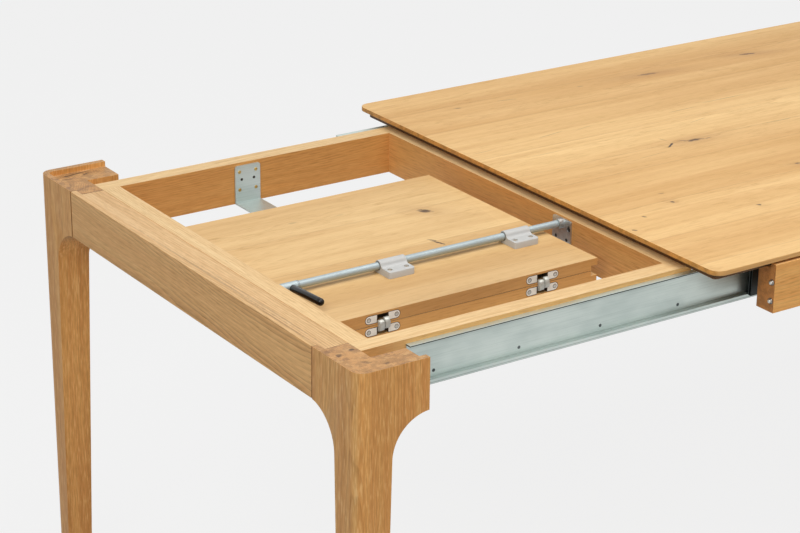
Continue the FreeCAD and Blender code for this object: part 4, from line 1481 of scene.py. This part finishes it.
@dataclass
class Saddle:
    """A moulded clip that holds the leaf on the rod; sizes in millimetres from the rod's axis."""

    end: str
    shoulder: float = 11.0
    corner: float = 4.0
    back_corner: float = 0.8
    foot: float = 15.0
    knee: tuple[float, float] = (-1.5, -5.4)
    lip: float = 1.4
    well: float = 4.3
    well_floor: float = -4.0
    seat: float = -3.9
    head: Head = Head(3.7 * MM, 1.9 * MM)
    # the gap sizes below are for near-black rings of painted shadow at the clip's ends
    gap: float = 7.1
    gap_half: float = 0.2
    edge: Edge = Edge(0.7 * MM, 3, 40)

    def build(self) -> list[bpy.types.Object]:
        """Make the clip, a near-black ring of painted shadow in the gap round the rod at each end, and
        its two screws.

        Returns:
            The pieces.
        """
        node, screws = f"saddle_{self.end}", f"saddle_screws_{self.end}"
        axis = middle("pivot_rod")
        centre = Vector((middle(node).x, axis.y, axis.z))
        low, high = ((corner - centre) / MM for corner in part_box(node))
        screws_low, screws_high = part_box(screws)
        reach = (screws_high.x - screws_low.x) / 2 / MM - (screws_high.y - screws_low.y) / 2 / MM
        across = (middle(screws).y - centre.y) / MM
        grey = Moulded(f"{node}_plastic", (0.52, 0.52, 0.505), 0.42, 1400.0, 0.02, 0.05).material()
        # near black: painted shadow in the gap round the rod
        dark = Moulded(f"{node}_gap", (0.05, 0.048, 0.045), 0.6).material()
        steel = Zinc(f"{node}_screw", (0.62, 0.50, 0.34), (0.44, 0.33, 0.20), 0.34, 0.8).material()
        shell = lofted(f"{node}_moulded", grey, [
            [centre + Vector((x, y, z)) * MM for y, z in self._outline(low, high, cut)]
            for x, cut in self._stations(high.x)])
        wells = [disc(f"well_{i}", grey, 0, 20, self.well, 28,
                      centre + Vector((s * reach, across, self.well_floor)) * MM)
                 for i, s in enumerate((-1, 1))]
        carver = joined("wells", wells, grey)
        hollow = shell.modifiers.new("recesses", "BOOLEAN")
        hollow.object = carver
        hollow.solver = "EXACT"
        settled(shell)
        bpy.data.objects.remove(carver)
        ends = [centre + Vector((s * high.x, 0, 0)) * MM for s in (-1, 1)]
        seats = [centre + Vector((s * reach, across, self.seat)) * MM for s in (-1, 1)]
        return [
            mount(eased(shell, self.edge), "leaf_a", "saddle_plastic", node),
            Row(f"{node}_gaps", "leaf_a", "screw_dark", dark, RIGHT).copies(
                ends, disc("gap_shape", dark, -self.gap_half, self.gap_half, self.gap, 36)),
            Row(f"{node}_screw_heads", "leaf_a", "screw_dark", steel).screws(seats, self.head, screws)]

    def _stations(self, half: float) -> list[tuple[float, float]]:
        """Places along the clip and how far its front is cut back there, for round corners.

        Args:
            half: half the clip's length in millimetres.

        Returns:
            (place, cut) from one end to the other.
        """
        steps = [self.corner * (1 - math.cos(math.radians(a))) for a in (0, 18, 36, 54, 72, 90)]
        near = [(half - d, self.corner - math.sqrt(self.corner ** 2 - (self.corner - d) ** 2))
                for d in steps]
        return [(-x, cut) for x, cut in near] + [(x, cut) for x, cut in reversed(near)]

    def _outline(self, low: Vector, high: Vector, cut: float) -> list[tuple[float, float]]:
        """The clip's section: flat base, round back and crown, and a hollow slope to the front.

        Args:
            low: the clip's lower corner.
            high: its upper corner.
            cut: how far the front is set back.

        Returns:
            (y, z) points in millimetres.
        """
        top, radius, back, lip = low.z + self.shoulder, high.z, high.y, self.lip
        points = [(back, low.z), (back, top - self.back_corner), (back - self.back_corner, top),
                  (radius, top)]
        points += [(radius * math.cos(a), radius * math.sin(a))
                   for a in (math.radians(d) for d in range(10, 151, 10))]
        begin = Vector(points[-1])
        knee, foot = begin + Vector(self.knee), Vector((-self.foot, top))
        for t in (i / 8 for i in range(1, 8)):
            points.append(tuple(begin * (1 - t) ** 2 + knee * 2 * t * (1 - t) + foot * t * t))
        face = low.y + cut
        return points + [(-self.foot, top), (face + lip, top), (face + 0.3 * lip, top - 0.3 * lip),
                         (face, top - lip), (face, low.z)]


# --- concealed hinges ----------------------------------------------------------------------------

@dataclass
class Hinges:
    """Two concealed hinges between the leaf's halves; sizes in millimetres."""

    arm: float = 24.75
    gap: float = 10.5
    round: float = 6.25
    # outline: how far the near-black painted shadow round each ear reaches past the casting
    outline: float = 0.75
    inset: float = 2.0
    screw_off: float = 25.0
    seat_proud: float = 0.15
    plate: float = 8.6
    pitch: float = 5.0
    pin_out: float = 5.0
    head: Head = Head(3.05 * MM, 0.45 * MM)
    core_edge: Edge = Edge(0.15 * MM, 1, 40)
    ear_edge: Edge = Edge(0.35 * MM, 2, 40)
    plate_edge: Edge = Edge(0.9 * MM, 3, 30)

    @property
    def wall(self) -> float:
        """Where the leaf's hinge edge lies, along y."""
        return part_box("hinge_a_outer")[0].y / MM

    def build(self) -> list[bpy.types.Object]:
        """Make the near-black cores, painted shade of the pockets, the ears, near-black painted shadows
        round the ears and screw heads, the screws and link plates.

        Returns:
            The pieces.
        """
        bright = Zinc("hinge_zinc_casting", (0.93, 0.87, 0.77), (0.78, 0.72, 0.62), 0.42, 0.35).material()
        # near black: painted shade deep in the hinges' pockets
        core = Zinc("hinge_pocket_shade", (0.10, 0.085, 0.07), (0.05, 0.042, 0.035), 0.6, 0.4).material()
        # near black: painted shadow in the mortise round each ear and round each screw head
        dark = Moulded("hinge_mortise_shadow", (0.085, 0.05, 0.028), 0.7).material()
        screw = Zinc("hinge_screw_steel", (0.62, 0.59, 0.53), (0.42, 0.40, 0.36), 0.32, 0.9).material()
        pieces = []
        for half in ("a", "b"):
            body = f"leaf_{half}"
            nodes = [f"hinge_{half}_{end}" for end in ("outer", "inner")]
            spots = [middle(node) / MM for node in nodes]
            pieces += [dressed(node, body, "hinge_zinc", core, self.core_edge) for node in nodes]
            outlines = self._ears(f"hinge_outlines_{half}", spots, self.outline, 0.05, dark)
            ears = eased(self._ears(f"hinge_ears_{half}", spots, -0.15, 0.17, bright), self.ear_edge)
            heads = [Vector((spot.x + s * self.screw_off, self.wall - self.seat_proud, spot.z)) * MM
                     for spot in spots for s in (-1, 1)]
            pieces += [
                mount(outlines, body, "hinge_zinc"), mount(ears, body, "hinge_zinc"),
                # near-black discs round the screw heads: painted shade in the countersinks
                Row(f"hinge_screw_seats_{half}", body, "hinge_zinc", dark, NEAR).copies(
                    heads, disc("seat_shape", dark, -0.5, 0.06, 3.7, 28)),
                Row(f"hinge_screw_heads_{half}", body, "hinge_zinc", screw, NEAR).screws(
                    heads, self.head, f"hinge_screws_{half}")]
        return pieces + self._links()

    def _ears(self, name: str, spots: Sequence[Vector], grow: float, proud: float,
              material: bpy.types.Material) -> bpy.types.Object:
        """The rounded ears of one leaf half's hinges.

        Args:
            name: the piece's name.
            spots: the hinge halves' middles.
            grow: how much larger than the casting they are.
            proud: how far they stand out of the leaf's edge.
            material: their finish.

        Returns:
            The ears, as one piece.
        """
        r, inner = self.round + grow, self.gap - max(grow, 0.0)
        outline = [(inner, r), (inner, -r)]
        outline += [(self.arm + r * math.sin(a), -r * math.cos(a))
                    for a in (math.radians(d) for d in range(0, 181, 12))]
        ears = [lofted("ear", material, [
            [Vector((spot.x + side * x, y, spot.z + z)) * MM for x, z in outline]
            for y in (self.wall + self.inset, self.wall - proud)]) for spot in spots for side in (-1, 1)]
        return joined(name, ears, material)

    def _links(self) -> list[bpy.types.Object]:
        """Make the stacks of link plates with the pins through them.

        Returns:
            The pieces.
        """
        grey = Zinc("hinge_link_steel", (0.56, 0.56, 0.51), (0.42, 0.42, 0.38), 0.42, 0.45).material()
        nodes = ("hinge_link_outer", "hinge_link_inner")
        stacks = [Vector((spot.x, self.wall, spot.z)) for spot in (middle(node) / MM for node in nodes)]
        tall = ((0.5, 10.6), (-3.0, 10.4), (-6.6, 8.0), (-8.0, 4.0), (-8.0, -2.0), (-6.4, -6.2),
                (-3.0, -7.6), (0.5, -7.6))
        pieces = []
        for title, side, replaced in (("tall", 1, nodes), ("low", -1, ())):
            shape = lofted("plate_shape", grey, [[Vector((x, y, side * z)) * MM for y, z in tall]
                                                 for x in (-self.plate / 2, self.plate / 2)])
            places = [Vector((s.x + side * self.pitch, s.y, s.z)) * MM for s in stacks]
            pieces.append(Row(f"hinge_link_plates_{title}", "hinge_links", "link_grey", grey).copies(
                places, eased(shape, self.plate_edge), *replaced))
        pin = lathed("pin_shape", grey, (
            (-10.1, 0), (-10.1, 1.2), (-9.8, 1.5), (9.8, 1.5), (10.1, 1.2), (10.1, 0)), 20)
        places = [Vector((s.x, s.y - self.pin_out, s.z)) * MM for s in stacks]
        pieces.append(Row("hinge_link_pins", "hinge_links", "link_grey", grey, RIGHT).copies(places, pin))
        return pieces


# --- studio --------------------------------------------------------------------------------------

@dataclass(frozen=True)
class Lamp:
    """A square soft lamp: its name, place, target and side in metres, and power in watts."""

    name: str
    place: Sequence[float]
    target: Sequence[float]
    size: float
    power: float

    def hang(self) -> None:
        """Put the lamp into the scene and point it at its target."""
        data = bpy.data.lights.new(self.name, "AREA")
        data.shape = "SQUARE"
        data.size = self.size
        data.energy = self.power
        aim = Vector(self.target) - Vector(self.place)
        linked(self.name, data).matrix_world = (
            Matrix.Translation(Vector(self.place)) @ aim.to_track_quat("-Z", "Y").to_matrix().to_4x4())


@dataclass
class Studio:
    """A pale floor, soft light from above and the camera; lengths in metres, angles in degrees."""

    lens: float = 100.217
    sensor: float = 36.0
    place: Vector = field(default_factory=lambda: Vector((-2.7292, -2.8230, 2.0010)))
    yaw: float = 34.1219
    pitch: float = 21.5420
    roll: float = 0.6347
    sight: float = 60.0
    backdrop: float = 0.915
    room: float = 0.20
    room_tint: Colour = (1.0, 0.99, 0.97)
    floor_size: float = 40.0
    floor_paint: float = 0.62
    floor_glow: float = 0.93
    lamps: tuple[Lamp, ...] = (
        Lamp("overhead", (-0.1, -0.9, 4.4), (-0.1, -0.2, 0.7), 3.8, 138.0),
        Lamp("side_fill", (-3.8, -2.3, 3.8), (-0.6, 0.0, 0.6), 2.6, 104.0))

    def build(self) -> None:
        """Make the camera, the floor, the world and the lamps."""
        self._camera()
        self._floor()
        self._world()
        for lamp in self.lamps:
            lamp.hang()

    def _camera(self) -> None:
        """Set the camera where it looks down along the table."""
        yaw, pitch, roll = (math.radians(a) for a in (self.yaw, self.pitch, self.roll))
        ahead = Vector((math.sin(yaw) * math.cos(pitch), math.cos(yaw) * math.cos(pitch),
                        -math.sin(pitch)))
        right = Vector((math.cos(yaw), -math.sin(yaw), 0.0))
        up = right.cross(ahead)
        across = right * math.cos(roll) + up * math.sin(roll)
        above = up * math.cos(roll) - right * math.sin(roll)
        data = bpy.data.cameras.new("camera")
        data.lens = self.lens
        data.sensor_width = self.sensor
        data.sensor_fit = "HORIZONTAL"
        data.clip_end = self.sight
        camera = linked("camera", data)
        turn = Matrix((across, above, -ahead)).transposed().to_4x4()
        camera.matrix_world = Matrix.Translation(self.place) @ turn
        bpy.context.scene.camera = camera

    def _floor(self) -> None:
        """Lay a plain pale floor that keeps the table's shadow."""
        half = self.floor_size / 2
        mesh = bpy.data.meshes.new("floor")
        mesh.from_pydata([(-half, -half, 0), (half, -half, 0), (half, half, 0), (-half, half, 0)],
                         [], [(0, 1, 2, 3)])
        material = bpy.data.materials.new("pale_floor")
        material.use_nodes = True
        material.node_tree.nodes.clear()
        g = Graph(material.node_tree)
        paint = g.add("ShaderNodeBsdfDiffuse", (self.floor_paint,) * 3 + (1.0,))
        glow = g.add("ShaderNodeEmission", (self.backdrop,) * 3 + (1.0,))
        share = g.times(self._seen(g), self.floor_glow)
        self._end(g, "ShaderNodeOutputMaterial", share, paint, glow)
        mesh.materials.append(material)
        linked("floor", mesh)

    def _world(self) -> None:
        """Light the room evenly, and show the backdrop's grey behind the table."""
        world = bpy.data.worlds.new("studio")
        bpy.context.scene.world = world
        world.use_nodes = True
        world.node_tree.nodes.clear()
        g = Graph(world.node_tree)
        room = g.add("ShaderNodeBackground", (*self.room_tint, 1.0), self.room)
        backdrop = g.add("ShaderNodeBackground", (self.backdrop,) * 3 + (1.0,))
        self._end(g, "ShaderNodeOutputWorld", self._seen(g), room, backdrop)

    def _seen(self, g: Graph) -> bpy.types.NodeSocket:
        """Tell what is looked at from what the lamps light.

        Args:
            g: the graph.

        Returns:
            1 for the camera, for reflections and through glass, and 0 for the rest.
        """
        rays = g.add("ShaderNodeLightPath").outputs
        seen = g.plus(rays["Is Camera Ray"], rays["Is Glossy Ray"])
        return g.math("ADD", seen, rays["Is Transmission Ray"], clamp=True)

    def _end(self, g: Graph, kind: str, share: Socket, lit: bpy.types.Node,
             shown: bpy.types.Node) -> None:
        """End a graph with a mix of two shaders; share is how much of the second shows."""
        mix = g.add("ShaderNodeMixShader", share, lit.outputs[0], shown.outputs[0])
        g.add(kind, mix.outputs[0])


def main() -> None:
    """Build the studio and every piece."""
    logging.basicConfig(level=logging.INFO, format="%(name)s: %(message)s")
    bpy.context.scene.view_settings.view_transform = "Standard"
    Studio().build()
    top = Oak("oak_tabletop", Grain.ALONG, 3.7, knots=TOP_MARKS, **TOP_WOOD)
    assemblies = (
        Woodwork("main_frame", "panel_oak", {"tabletop": top}, Edge(0.8 * MM)),
        Woodwork("main_frame", "frame_oak", main_frame_boards()),
        Woodwork("end_frame", "frame_oak", end_frame_boards()),
        Woodwork("end_frame", "rail_wood", well_boards()),
        Leaf(), Slides(), Studs(), Feet(), Bracket(), Pivot(),
        Saddle("outer"), Saddle("inner"), Hinges(),
    )
    for assembly in assemblies:
        for piece in assembly.build():
            LOG.info("%s: %d faces", piece.name, len(piece.data.polygons))


if __name__ == "__main__":
    main()
